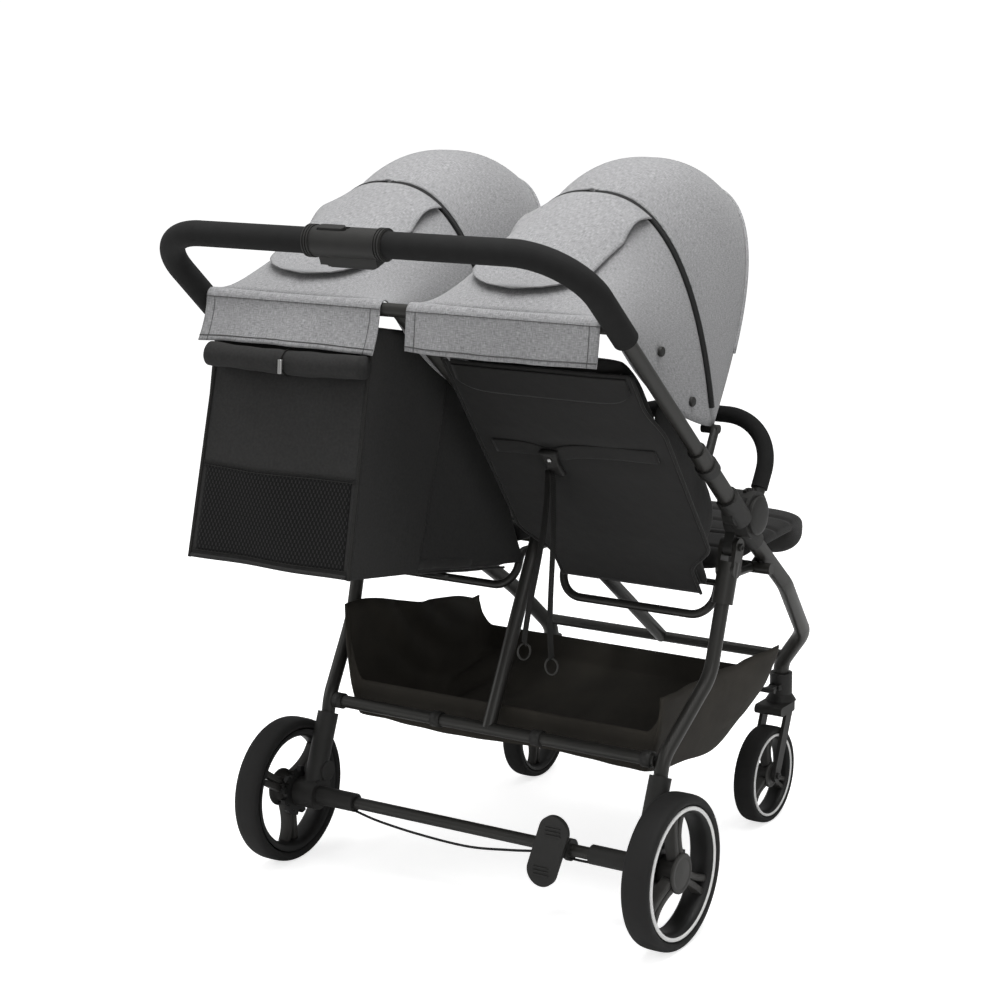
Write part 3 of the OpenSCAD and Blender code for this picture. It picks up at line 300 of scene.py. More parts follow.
def round_profile(radius, sides=14):
    """Points on a circle."""
    turn = np.linspace(0, 2 * np.pi, sides, endpoint=False)
    return radius * np.stack([np.cos(turn), np.sin(turn)], 1)


def flat_profile(width, thick, edge=0.35, sides=5):
    """Points round a flat strip with soft edges: a superellipse of that width and thickness."""
    turn = np.linspace(0, 2 * np.pi, 4 * sides, endpoint=False)
    return np.stack([width / 2 * np.sign(np.cos(turn)) * np.abs(np.cos(turn)) ** edge,
                     thick / 2 * np.sign(np.sin(turn)) * np.abs(np.sin(turn)) ** edge], 1)


sheath_finish, sheath_body, sheath_at, _ = new_finish("cable_sheath", Base_Color=(0.012, 0.012, 0.012), Roughness=0.45)
grit = sheath_at.noise(900.0, 2.0)
feed(sheath_body, "Roughness", grit * 0.25 + 0.35)
long_line = smooth_line([(0.1256, -0.172, 0.105), (0.075, cable_y, 0.098), (0.0, cable_y, 0.089),
                         (-0.09, cable_y, 0.091), (-0.168, cable_y, 0.098), (-0.2176, -0.172, 0.105)], 40)
short_line = smooth_line([(0.1844, -0.172, 0.105), (0.2, -0.1722, 0.1046), (0.2176, -0.172, 0.105)], 15)
for name, line in (("brake_cable_long", long_line), ("brake_cable_short", short_line)):
    cable = carry(name, line, round_profile(cable_r), sheath_finish, "rear_frame")
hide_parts("brake_cable")

# Fixings on the frame: the domed caps of the fold hubs, the screw heads of the forks and leg pivots, and the
# plated nuts where the hood's cross tube is bolted through the foam.
hub_at, caster_x, front_axle_y, front_r, fork_half = (0.3695, 0.066, 0.607), 0.228, 0.385, 0.082, 0.0268
pivot_x, pivot_y, pivot_z, pivot_head_r, fork_head_r = 0.352, 0.045, 0.56, 0.0062, 0.0058
nut_x, nut_y, nut_z = 0.349, -0.3485, 0.9545


def turn_round(name, profile, centre, axis, finish, body, steps=40, smooth=True):
    """A profile of (height along the axis, radius) points turned round an axis through the centre."""
    axis = np.asarray(axis, float) / np.linalg.norm(axis)
    first = np.cross(axis, (0, 0, 1) if abs(axis[2]) < 0.9 else (0, 1, 0))
    first /= np.linalg.norm(first)
    second = np.cross(axis, first)
    h, r = np.asarray(profile, float).T
    turn = np.linspace(0, 2 * np.pi, steps, endpoint=False)
    spoke = np.cos(turn)[:, None] * first + np.sin(turn)[:, None] * second
    grid = np.asarray(centre, float) + h[:, None, None] * axis + r[:, None, None] * spoke[None]
    return lay_grid(name, grid, finish, body, closed=True, smooth=smooth)


for s, side in ((-1, "left"), (1, "right")):
    dome = [(0, 0.0292), (0.0012, 0.0296), (0.003, 0.0285), (0.0045, 0.024), (0.0052, 0.015), (0.0054, 0.0001)]
    cap = turn_round("fold_cap_" + side, dome, (s * hub_at[0], *hub_at[1:]), (s, 0, 0), mould, "handle_frame", 48)
    fork_out, fork_in = ((s * (caster_x + way * fork_half), front_axle_y, front_r) for way in (1, -1))
    for name, at, body, r in (("pivot_screw", (s * pivot_x, pivot_y, pivot_z), "rear_frame", pivot_head_r),
                              ("fork_screw_out", fork_out, "caster_" + side, fork_head_r),
                              ("fork_screw_in", fork_in, "caster_" + side, fork_head_r)):
        way = -s if name.endswith("in") else s
        screw = [(0, r), (0.0016, r), (0.0024, r * 0.86), (0.0026, r * 0.5), (0.0012, r * 0.46), (0.0012, 0.0001)]
        head = turn_round(f"{name}_{side}", screw, at, (way, 0, 0), mould, body, 18)
    hexagon = [(0, 0.0074), (0.001, 0.0076), (0.004, 0.0076), (0.0048, 0.0066), (0.0048, 0.0038), (0.0072, 0.0036),
               (0.0076, 0.0028), (0.0076, 0.0001)]
    nut = turn_round("bar_nut_" + side, hexagon, (s * nut_x, nut_y, nut_z), (-0.3 * s, -0.72, 0.62), steel,
                     "handle_frame", 6, smooth=False)

# Foam: closed-cell sleeves pushed on to the handle and the bumper bars as grips, matt black with
# a fine open grain.
foam, foam_body, foam_at, _ = new_finish("closed_cell_foam", Roughness=0.88)
mottle = foam_at.noise(60.0, 5.0)
feed(foam_body, "Base Color", mottle.blend((0.0085, 0.0085, 0.0085), (0.0145, 0.0145, 0.0145)))
cells = foam_at.node("TexVoronoi", {"Vector": foam_at, "Scale": 850.0})
pits = foam_at.noise(2400.0, 2.0)
feed(foam_body, "Normal", foam_at.bump(cells * 0.6 + pits * 0.6, 0.3, 0.0006))
dress(foam, "handle_grips", "bumper_left", "bumper_right")

# Wheels: foam-rubber tyres on black nylon rims. A rim is a deep barrel with a white band round its outer edge and
# three spokes, each split by a slot, that run to a round cap.
tread, tread_body, tread_at, tread_uv = new_finish("tyre_rubber", Roughness=0.72)
dust = tread_at.noise(35.0, 6.0)
feed(tread_body, "Base Color", dust.blend((0.0095, 0.0095, 0.0095), (0.0185, 0.018, 0.0175)))
feed(tread_body, "Roughness", dust * 0.25 + 0.58)
pores = tread_at.noise(900.0, 3.0)
blocks = tread_uv.part(1)
ribs = (blocks * 420.0).math("SINE") > 0.55
feed(tread_body, "Normal", tread_at.bump(pores * 0.35 + ribs * 0.2, 0.3, 0.0006))
rim_black, rim_body, rim_at, _ = new_finish("rim_nylon", Roughness=0.45)
swirl = rim_at.noise(30.0, 5.0)
feed(rim_body, "Base Color", swirl.blend((0.010, 0.010, 0.010), (0.019, 0.019, 0.0185)))
feed(rim_body, "Roughness", swirl * 0.25 + 0.3)
cap_grey, cap_body, cap_at, _ = new_finish("cap_nylon", Roughness=0.5)
cap_cloud = cap_at.noise(50.0, 4.0)
feed(cap_body, "Base Color", cap_cloud.blend((0.034, 0.033, 0.031), (0.05, 0.049, 0.046)))
band_white, band_body, band_at, _ = new_finish("rim_band", Roughness=0.4)
grime = band_at.noise(45.0, 5.0)
feed(band_body, "Base Color", grime.blend((0.86, 0.86, 0.85), (0.74, 0.74, 0.73)))


def wheel(name, x, y, r, w, side, body, hub_r, cap_r, tyre_node, rim_node):
    """One wheel about its axle along X. The tyre is a rounded square turned round the axle, the barrel and band are
    turned profiles, and each spoke is two bars that part from the hub and spread as they reach the barrel."""
    edge = 0.855 * r
    turn = np.linspace(0, 2 * np.pi, 28, endpoint=False)
    mid, half = (r + edge) / 2, (r - edge) / 2
    crown = np.abs(np.cos(turn)) ** 0.62 * np.sign(np.cos(turn))
    flat = np.abs(np.sin(turn)) ** 0.5 * np.sign(np.sin(turn))
    ring = np.stack([flat * w / 2 * (1 - 0.1 * (crown > 0) * crown ** 2), mid + crown * half], 1)
    ring = np.vstack([ring, ring[:1]])
    tyre = turn_round(name + "_tyre", ring[::-1], (x, y, r), (1, 0, 0), tread, body, 96)
    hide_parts(tyre_node)
    wall, e = 0.1 * r, edge - 0.0002
    o = 0.45 * w * side
    barrel = [(-o, e), (-o, e - 0.5 * wall), (-0.7 * o, e - wall), (0.55 * o, e - wall), (0.8 * o, e - 0.8 * wall),
              (0.96 * o, e - 0.62 * wall), (o, e - 0.55 * wall), (o, e), (-o, e)]
    shell = turn_round(name + "_barrel", barrel if side < 0 else barrel[::-1], (x, y, r), (1, 0, 0), rim_black, body,
                       96)
    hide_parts(rim_node)
    b = o + 0.0012 * side
    band = [(o * 0.97, e - 0.52 * wall), (b, e - 0.46 * wall), (b + 0.0006 * side, e - 0.25 * wall),
            (b, e - 0.04 * wall), (o * 0.97, e + 0.0002)]
    hoop = turn_round(name + "_band", band if side > 0 else band[::-1], (x, y, r), (1, 0, 0), band_white, body, 96)
    face = 0.34 * w * side
    t = np.linspace(0, 1, 14)
    for k in range(3):
        a = math.radians(90 * side + 120 * k)
        out, across = np.array((0, math.cos(a), math.sin(a))), np.array((0, -math.sin(a), math.cos(a)))
        for leg, mark in ((-1, "a"), (1, "b")):
            spread = leg * r * (0.058 - 0.012 * np.sin(np.pi * t) + 0.03 * t ** 3)
            reach = cap_r * 0.7 + t * (e - wall * 0.9 - cap_r * 0.7)
            deep = face * (0.45 - 0.27 * np.sin(np.pi * t) ** 0.8 - 0.1 * t)
            line = (np.array((x, y, r)) + reach[:, None] * out + spread[:, None] * across
                    + deep[:, None] * np.array((1, 0, 0)))
            bar = carry(f"{name}_spoke_{k}_{mark}", line, flat_profile(r * 0.092, w * 0.42, 0.3, 4), cap_grey, body,
                        lead=(1, 0, 0))
    rear = -0.43 * w * side
    hub = [(rear, 0.0001), (rear, hub_r), (face * 0.9, hub_r), (face * 0.95, cap_r), (face + 0.002 * side, cap_r),
           (face + 0.0032 * side, cap_r * 0.94), (face + 0.0034 * side, cap_r * 0.8),
           (face + 0.0026 * side, cap_r * 0.77), (face + 0.003 * side, cap_r * 0.7), (face + 0.0036 * side, 0.0001)]
    cap = turn_round(name + "_cap", hub if side > 0 else hub[::-1], (x, y, r), (1, 0, 0), cap_grey, body, 56)


rear_x, rear_axle_y, rear_r, rear_wide, front_wide = 0.353, -0.168, 0.117, 0.044, 0.036
rear_hub_r, rear_cap_r, front_hub_r, front_cap_r = 0.0234, 0.0305, 0.016, 0.0215
disc_x, disc_r, disc_half, notch_deep, notch_pitch, notch_half = 0.335, 0.04, 0.004, 0.008, 30, 7.2
for s, side in ((-1, "left"), (1, "right")):
    wheel("rear_" + side, s * rear_x, rear_axle_y, rear_r, rear_wide, s, "rear_wheel_" + side, rear_hub_r, rear_cap_r,
          "rear_tyre_" + side, "rear_rim_" + side)
    wheel("front_" + side, s * caster_x, front_axle_y, front_r, front_wide, s, "front_wheel_" + side, front_hub_r,
          front_cap_r, "front_tyre_" + side, "front_rim_" + side)
    turn = np.linspace(0, 2 * np.pi, 180, endpoint=False)
    notched = np.abs((np.degrees(turn) / notch_pitch + 0.5) % 1 - 0.5) * notch_pitch < notch_half
    rim_r, pole = np.where(notched, disc_r - notch_deep, disc_r), 0.0001 + 0 * turn
    rows = ((-disc_half, pole), (-disc_half, rim_r), (disc_half, rim_r), (disc_half, pole))
    grid = np.stack([np.stack([s * disc_x + h + 0 * turn, rear_axle_y + far * np.cos(turn),
                               rear_r + far * np.sin(turn)], -1) for h, far in rows])
    disc = lay_grid("brake_disc_" + side, grid, rim_black, "rear_wheel_" + side, closed=True, smooth=False)

# Seats: black polyester over foam, with sewn channels across the pads and a piped edge. They lie on the seat tubes
# and hinge on rods at the back and front.
black_tone, faded_tone = (0.0078, 0.0075, 0.0072), (0.0142, 0.0136, 0.013)
twill, twill_body, twill_at, twill_uv = new_finish("black_polyester", Roughness=0.82)
twill_body.inputs["Sheen Weight"].default_value = 0.12
washed = twill_at.noise(14.0, 6.0)
feed(twill_body, "Base Color", washed.blend(black_tone, faded_tone))
feed(twill_body, "Roughness", washed * 0.2 + 0.68)
warp = twill_uv.part(0)
weft = twill_uv.part(1)
threads = ((warp * 5200.0).math("SINE") + (weft * 5200.0).math("SINE")) * 0.25 + 0.5
creases = twill_at.noise(30.0, 3.0)
fine_bump = twill_at.bump(threads, 0.25, 0.0003)
feed(twill_body, "Normal", twill_at.bump(creases, 0.25, 0.004, fine_bump))


def pillow(name, x0, half, line, rise, top, low, body, node, rows=56):
    """A closed pad: at each share v of its length a rounded loop of half-width half(v) stands about line(v), raised by
    top(u, v) and lowered by low(u, v) along rise, where u goes from -1 to 1 across it and the ends draw together."""
    v = np.linspace(0, 1, rows)[:, None]
    turn = np.linspace(0, 2 * np.pi, 48, endpoint=False)[None]
    u = np.sign(np.cos(turn)) * np.abs(np.cos(turn)) ** 0.45 + 0 * v
    up = np.abs(np.sin(turn)) ** 0.5 * np.sign(np.sin(turn))
    ends = np.clip(1 - np.abs(2 * v - 1) ** 14, 1e-4, 1) ** 0.5
    lift = np.where(up > 0, top(u, v), low(u, v)) * up * ends
    y, z = line(v)
    ry, rz = rise(v)
    x = x0 + u * half(v) * (1 - 0.025 * (1 - ends))
    grid = np.stack([x, y + ry * lift, z + rz * lift], -1)
    pad = lay_grid(name, grid[:, ::-1], twill, body, closed=True, capped=True)
    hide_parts(node)


def groove(share, places, width):
    """A dip of depth 1 at each place along a share, falling off within the width."""
    return sum(np.exp(-((share - p) / width) ** 2) for p in places)


seat_x, hinge_y, hinge_z = 0.177, 0.046, 0.500
back_low, back_len, back_mid = 0.0058, 0.466, 0.009
slopes = {"left": math.radians(10.8), "right": math.radians(55)}


def on_back(slope, y, z):
    """Side-plane place of a point y up the back and z out of its rear face."""
    return (hinge_y - math.cos(slope) * y - math.sin(slope) * z, hinge_z + math.sin(slope) * y - math.cos(slope) * z)


def lip(v):
    """Share of the way over the leg rest's front edge, from 0 at 0.7 of its length to 1 at its end."""
    return np.clip((v - 0.7) / 0.3, 0, 1)


def back_half(v):
    """Half-width of a backrest: narrow at the foot between the rails, full above, drawn in at the head."""
    grow = np.clip(v * back_len / 0.110 - 0.35, 0, 1)
    return (0.126 + 0.014 * grow) * (1 - 0.1 * np.clip((v - 0.86) / 0.14, 0, 1) ** 2)


for s, side in ((-1, "left"), (1, "right")):
    pillow("seat_cushion_" + side, s * seat_x, lambda v: 0.1255 - 0.004 * (2 * v - 1) ** 4,
           lambda v: (0.0645 + 0.131 * v, 0.526 + 0 * v), lambda v: (0 * v, 1 + 0 * v),
           lambda u, v: 0.0165 + 0.009 * np.abs(u) ** 4 + 0.006 * v - 0.005 * groove(v, (0.22, 0.78), 0.035),
           lambda u, v: 0.0168 + 0 * u * v, "chassis", "seat_pad_" + side)
    pillow("leg_cushion_" + side, s * seat_x, lambda v: 0.1235 - 0.003 * (2 * v - 1) ** 6,
           lambda v: (0.2136 + 0.162 * v, 0.523 + 0.008 * v - 0.012 * lip(v)), lambda v: (0 * v, 1 + 0 * v),
           lambda u, v: 0.014 + 0.004 * v - 0.004 * groove(v, (0.35, 0.68), 0.03) + 0.012 * lip(v),
           lambda u, v: 0.011 + 0.052 * lip(v) ** 0.7 * (1 - 0.35 * u ** 6), "leg_rest_" + side, "leg_rest_" + side)
    slope = slopes[side]
    pillow("back_cushion_" + side, s * seat_x, back_half,
           lambda v: on_back(slope, back_low + v * (back_len - back_low), back_mid),
           lambda v: (-math.sin(slope) + 0 * v, -math.cos(slope) + 0 * v),
           lambda u, v: 0.0172 - 0.0035 * u ** 8 - 0.0014 * groove(v, (0.505,), 0.02),
           lambda u, v: 0.0172 - 0.004 * u ** 8 - 0.005 * groove(v, (0.143, 0.43, 0.714), 0.022) * (1 - u ** 10),
           "backrest_" + side, "backrest_" + side, rows=80)
    v = np.linspace(0.03, 0.97, 60)
    for e, mark in ((-1, "a"), (1, "b")):
        y, z = on_back(slope, back_low + v * (back_len - back_low), back_mid + 0.0125)
        line = np.stack([s * seat_x + e * (back_half(v) - 0.0055), y, z], 1)
        cord_edge = carry(f"back_piping_{side}_{mark}", line, round_profile(0.0021, 8), twill, "backrest_" + side,
                          lead=(1, 0, 0))

# Right back, raised: its rear cover is a broad cloth with piped edges that reaches out behind the tubes, tucked
# in along the belt, and a flat pocket is sewn across its top. Padded wings stand forward along the outer edge of
# both backs.
cover_half, cover_low, cover_len, cover_out, tuck_at = 0.166, 0.004, 0.454, 0.0274, 0.296
foot_in, head_in, ease = 0.045, 0.019, 0.065
pocket_low, pocket_top, pocket_share = 0.880, 0.985, 0.93


def cover(u, v, out=0.0):
    """Rear cover at share u across and v up: broad behind the tubes, drawn in at its foot and at the outer side of
    its head, puffed either side of a tuck."""
    rise = cover_low + cover_len * v
    foot = np.sin(np.pi / 2 * np.clip((0.115 - rise) / ease, 0, 1)) ** 2
    head = (u > 0) * np.sin(np.pi / 2 * np.clip((rise - 0.335) / ease, 0, 1)) ** 2
    broad = cover_half - foot_in * foot - head_in * head
    puff = (0.0040 * (1 - u ** 4) * np.clip((rise - 0.06) / 0.06, 0, 1)
            * (1 - np.exp(-((rise - tuck_at) / 0.02) ** 2)) * np.sin(np.pi * np.clip(v, 0.02, 0.98)) ** 0.4)
    y, z = on_back(slopes["right"], rise, cover_out + puff + out)
    return np.stack(np.broadcast_arrays(seat_x + u * broad, y, z), -1)


u, v = np.meshgrid(np.linspace(-1, 1, 57), np.linspace(0, 1, 71), indexing="ij")
back_cover = lay_grid("back_cover_right", cover(u, v), twill, "backrest_right", wall=0.0018, grow=0)
for e, mark in ((-1, "a"), (1, "b")):
    line = cover(np.full(70, float(e)), np.linspace(0, 1, 70), 0.0008)
    edging = carry(f"cover_piping_{mark}", line, round_profile(0.0026, 8), twill, "backrest_right", lead=(1, 0, 0))
u, v = np.meshgrid(np.linspace(-1, 1, 41), np.linspace(0, 1, 17), indexing="ij")
low_edge = pocket_low + 0.045 * np.abs(u) ** 9
pocket_grid = cover(u * pocket_share, low_edge + (pocket_top - low_edge) * v, 0.0022 + 0.0016 * (1 - v) ** 2)
pocket = lay_grid("back_pocket", pocket_grid, twill, "backrest_right", wall=0.0016, grow=0)
wing_x, wing_deep = 0.3205, 0.040
for s, side in ((-1, "left"), (1, "right")):
    v = np.linspace(0, 1, 48)[:, None]
    turn = np.linspace(0, 2 * np.pi, 36, endpoint=False)[None]
    ends = np.clip(1 - np.abs(2 * v - 1) ** 6, 1e-4, 1) ** 0.5
    deep = wing_deep * np.sign(np.cos(turn)) * np.abs(np.cos(turn)) ** 0.5 * ends * (1 - 0.3 * v)
    y, z = on_back(slopes[side], 0.085 + 0.285 * v + 0.25 * (wing_deep - deep) * (1 - v), -0.012 + deep + 0 * v)
    x = s * (wing_x + 0.0042 * np.sin(turn) * ends)
    grid = np.stack(np.broadcast_arrays(x, y, z), -1)
    wing = lay_grid("back_wing_" + side, grid if s > 0 else grid[:, ::-1], twill, "backrest_" + side, closed=True,
                    capped=True)

# Straps: woven polyester tape. Shoulder straps with padded sleeves lie on the front of each back, and a recline belt
# runs across the rear in a cloth tunnel to its lock.
tape, tape_body, tape_at, tape_uv = new_finish("woven_tape", Roughness=0.7)
ribbed = (tape_uv.part(0) * 2400.0).math("SINE")
tape_cloud = tape_at.noise(80.0, 4.0)
feed(tape_body, "Base Color", tape_cloud.blend((0.010, 0.0098, 0.0092), (0.020, 0.0195, 0.018)))
feed(tape_body, "Normal", tape_at.bump(ribbed, 0.35, 0.0005))


def on_slope(slope, x, y, z):
    """Points of a line given across, up and out of a back."""
    py, pz = on_back(slope, np.asarray(y, float), np.asarray(z, float))
    return np.stack([x + 0 * py, py, pz], 1)


strap_x, belt_half = 0.046, 0.140
belt_rows = {"left": (-seat_x, 0.226, 0.0272, 0.226), "right": (0.1345, 0.294, 0.0300, 0.270)}
for s, side in ((-1, "left"), (1, "right")):
    slope, body = slopes[side], "backrest_" + side
    front = (0, math.sin(slope), math.cos(slope))
    for e, mark in ((-1, "a"), (1, "b")):
        x = s * seat_x + e * strap_x
        t = np.linspace(0.098, 0.395, 40)
        strap = carry(f"shoulder_strap_{side}_{mark}", on_slope(slope, x, t, -0.0106 + 0 * t),
                      flat_profile(0.025, 0.0022), tape, body, lead=front)
        t = np.linspace(0, 1, 24)
        sleeve = carry(f"strap_sleeve_{side}_{mark}", on_slope(slope, x, 0.257 + 0.119 * t, -0.0152 + 0 * t),
                       flat_profile(0.044, 0.0085, 0.5), twill, body, lead=front,
                       scale=np.clip(1 - np.abs(2 * t - 1) ** 12, 0.05, 1) ** 0.5)
    t = np.linspace(-1, 1, 50)
    middle, belt_y, belt_z, lock_y = belt_rows[side]
    out = np.array((0, -math.sin(slope), -math.cos(slope)))
    along = np.array((0, -math.cos(slope), math.sin(slope)))
    x = s * seat_x + belt_half * t
    tunnel = on_slope(slope, x, belt_y + 0.006 * t * s - 0.012 * np.exp(-((x - middle) / 0.03) ** 2),
                      belt_z + 0.0008 * np.cos(7 * t))
    belt = carry("recline_belt_" + side, tunnel, flat_profile(0.026, 0.0030, 0.6), twill, body, lead=out)
    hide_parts("webbing_" + side)
    seat = np.array((middle, *on_back(slope, lock_y, belt_z + 0.0013)))
    t = np.linspace(-1, 1, 18)
    lock = carry("recline_lock_" + side, seat + t[:, None] * 0.023 * along + 0.005 * out,
                 flat_profile(0.030, 0.0105, 0.4), mould, body, lead=out, scale=0.72 + 0.28 * np.abs(t) ** 1.5)
    rivet = turn_round("lock_rivet_" + side, [(0, 0.0042), (0.0016, 0.0042), (0.0028, 0.003), (0.0032, 0.0001)],
                       seat + 0.0102 * out + 0.010 * along, out, steel, body, 16)

# Basket: a black-brown ripstop tub slung from the low cross tube to the front legs, its floor sagging in diagonal
# creases, its left side pulled up higher. Moulded clips hold its rear edge to the tube.
canvas, canvas_body, canvas_at, canvas_uv = new_finish("basket_cloth", Roughness=0.78)
# Colour noise from brown-black to a paler olive-brown: the paler patches are painted highlight, standing in for light
# on the folds of the cloth.
painted_highlight = canvas_at.noise(11.0, 6.0)
feed(canvas_body, "Base Color", painted_highlight.blend((0.012, 0.0108, 0.0090), (0.048, 0.0425, 0.0340)))
rip = ((canvas_uv.part(0) * 1250.0).math("SINE") > 0.9) + ((canvas_uv.part(1) * 1250.0).math("SINE") > 0.9)
feed(canvas_body, "Normal", canvas_at.bump(rip, 0.2, 0.0003))
u, v = np.meshgrid(np.linspace(-1, 1, 111), np.linspace(0, 1, 71), indexing="ij")
floor_share, rear_share, front_share, floor_half_x = 0.72, 0.14, 0.82, 0.262
floor_z, hem_z, rim_z, left_rise, rear_y, basket_long = 0.236, 0.292, 0.350, 0.066, -0.090, 0.372
inner, wall = np.minimum(1, np.abs(u) / floor_share), np.clip((np.abs(u) - floor_share) / (1 - floor_share), 0, 1)
back, front = np.clip(1 - v / rear_share, 0, 1), np.clip((v - front_share) / (1 - front_share), 0, 1)
along = np.clip((v - rear_share) / (front_share - rear_share), 0, 1)
left = (u < 0) * 1.0
pull = (np.sin(34 * (np.abs(u) + 0.5 * v) + 3 * u) * (0.0034 + 0.0030 * left)
        * np.sin(np.pi * np.clip(along, 0.04, 0.96)) * (0.25 + np.abs(u)))
ripple = 0.003 * np.sin(4 * np.pi * v) * np.sin(2 * np.pi * u) * (1 - wall)
deep = floor_z + 0.020 * along - 0.040 * np.sin(np.pi * along) + ripple + pull
base = deep + (hem_z - deep) * np.maximum(back, front)
top = rim_z + left_rise * left - 0.014 * along - 0.062 * left * along ** 1.3 + 0.005 * left * np.sin(9 * along)
x = np.sign(u) * (floor_half_x * inner + 0.028 * np.sin(np.pi / 2 * wall)) - np.sign(u) * 1.6 * np.abs(pull) * wall
y = rear_y + basket_long * along + 0.010 * back + 0.022 * front
grid = np.stack([x, y, base + (top - base) * wall ** 1.5], -1)


def cloth_area(points):
    """Area of a grid of quads, from the cross products of their diagonals."""
    a, b = points[1:, 1:] - points[:-1, :-1], points[1:, :-1] - points[:-1, 1:]
    return float(np.linalg.norm(np.cross(a, b), axis=2).sum() / 2)


basket = lay_grid("basket_sheet", grid, canvas, None, wall=0.0018, grow=-1)
cloth_area(grid)
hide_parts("basket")
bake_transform(basket)
low_tube_y, low_tube_z = -0.114, 0.262
for k, x in enumerate((-0.285, -0.095, 0.090, 0.283)):
    sleeve = [(-0.008, 0.0104), (-0.008, 0.0128), (0.008, 0.0128), (0.008, 0.0104)]
    clip = turn_round(f"basket_clip_{k}", sleeve, (x, low_tube_y, low_tube_z), (1, 0, 0), mould, "rear_frame", 24)

# Hoods: woven polyester with a heathered grey yarn. A rear panel rises from the cross tube to the middle bow, a
# domed front panel runs on to the front bow, and a zip with a piped edge joins them.
pin_y, pin_z, hood_x, hood_half = -0.027, 0.752, 0.180, 0.160
bar_y, bar_z = -0.333, 0.940
mid_reach, front_reach = 0.3466, 0.403
mid_lean, front_lean = math.radians(101.2), math.radians(55.5)
zip_lean, bar_wrap, droop_deep = mid_lean + 0.006, 0.0133, 0.034
heather, heather_body, heather_at, heather_uv = new_finish("heather_grey_cloth", Roughness=0.9)
heather_body.inputs["Sheen Weight"].default_value = 0.15
spun = [heather_uv.node("Mapping", {"Vector": heather_uv, "Scale": size}).noise(1.0, 3.0)
        for size in ((110.0, 900.0, 1.0), (900.0, 110.0, 1.0))]
yarn = (spun[0] + spun[1]) * 0.5
flecks = yarn.node("MapRange", {"Value": yarn, "From Min": 0.36, "From Max": 0.64})
shade = heather_at.noise(7.0, 3.0)
feed(heather_body, "Base Color", (flecks * 0.8 + shade * 0.2).blend((0.14, 0.14, 0.145), (0.40, 0.40, 0.405)))
loom = ((heather_uv.part(0) * 4200.0).math("SINE") + (heather_uv.part(1) * 4200.0).math("SINE")) * 0.25 + 0.5
soft_folds = heather_at.noise(17.0, 2.0)
loom_bump = heather_at.bump(loom * 0.5 + flecks * 0.5, 0.35, 0.0005)
feed(heather_body, "Normal", heather_at.bump(soft_folds, 0.22, 0.006, loom_bump))
zip_black, zip_body, zip_at, zip_uv = new_finish("zip_tape", Roughness=0.6)
teeth = (zip_uv.part(0) * 2800.0).math("SINE")
zip_cloud = zip_at.noise(60.0, 4.0)
feed(zip_body, "Base Color", zip_cloud.blend((0.008, 0.008, 0.008), (0.016, 0.016, 0.016)))
feed(zip_body, "Normal", zip_at.bump(teeth, 0.4, 0.0006))
stitch_grey, stitch_body, stitch_at, _ = new_finish("seam_thread", Roughness=0.85)
stitches = stitch_at.noise(300.0, 2.0)
feed(stitch_body, "Base Color", stitches.blend((0.05, 0.05, 0.05), (0.12, 0.12, 0.12)))
arch_power = 0.78


def bow(half, reach, lean, q, s):
    """Point at angle q on a squared arch of that half-width and reach, in a plane that leans about the hood's pivot."""
    c, h = np.cos(q), np.abs(np.sin(q)) ** arch_power
    return np.stack(np.broadcast_arrays(s * (hood_x + half * np.sign(c) * np.abs(c) ** arch_power),
                                        pin_y + reach * h * np.cos(lean), pin_z + reach * h * np.sin(lean)), -1)


def rear_cloth(q, t, s, lift=0.0):
    """The rear panel at angle q and share t from the cross tube to the middle bow, puffed a little between, and
    drooping near the pins."""
    b = bow(hood_half, mid_reach, zip_lean, q, s)
    last = math.pi / 2 - np.arctan2(b[..., 2] - bar_z, b[..., 1] - bar_y)
    a = np.stack([s * hood_x + (b[..., 0] - s * hood_x) * 0.98, bar_y - bar_wrap * np.cos(last),
                  bar_z + bar_wrap * np.sin(last)], -1)
    high = np.abs(np.sin(q)) ** arch_power
    puff = (0.010 * np.sin(np.pi * t) + lift) * high ** 0.6 + 0.0011 * np.sin(9 * q + 5 * t) * np.sin(np.pi * t)
    droop = droop_deep * np.sin(np.pi * t) ** 0.8 * np.exp(-(high / 0.18) ** 2)
    off = np.stack(np.broadcast_arrays(0.0, -0.45 * puff - 0.67 * droop, 0.9 * puff - 0.74 * droop), -1)
    return a + (b - a) * t[..., None] + off


def arch_grid(rows):
    """Angles from pin to pin, spaced more closely near the pins, against shares along a panel."""
    across = np.linspace(-1, 1, 91)
    q = np.pi / 2 - (np.pi / 2 - 0.003) * across * (1.25 - 0.25 * across ** 2)
    return np.meshgrid(q, np.linspace(0, 1, rows), indexing="ij")


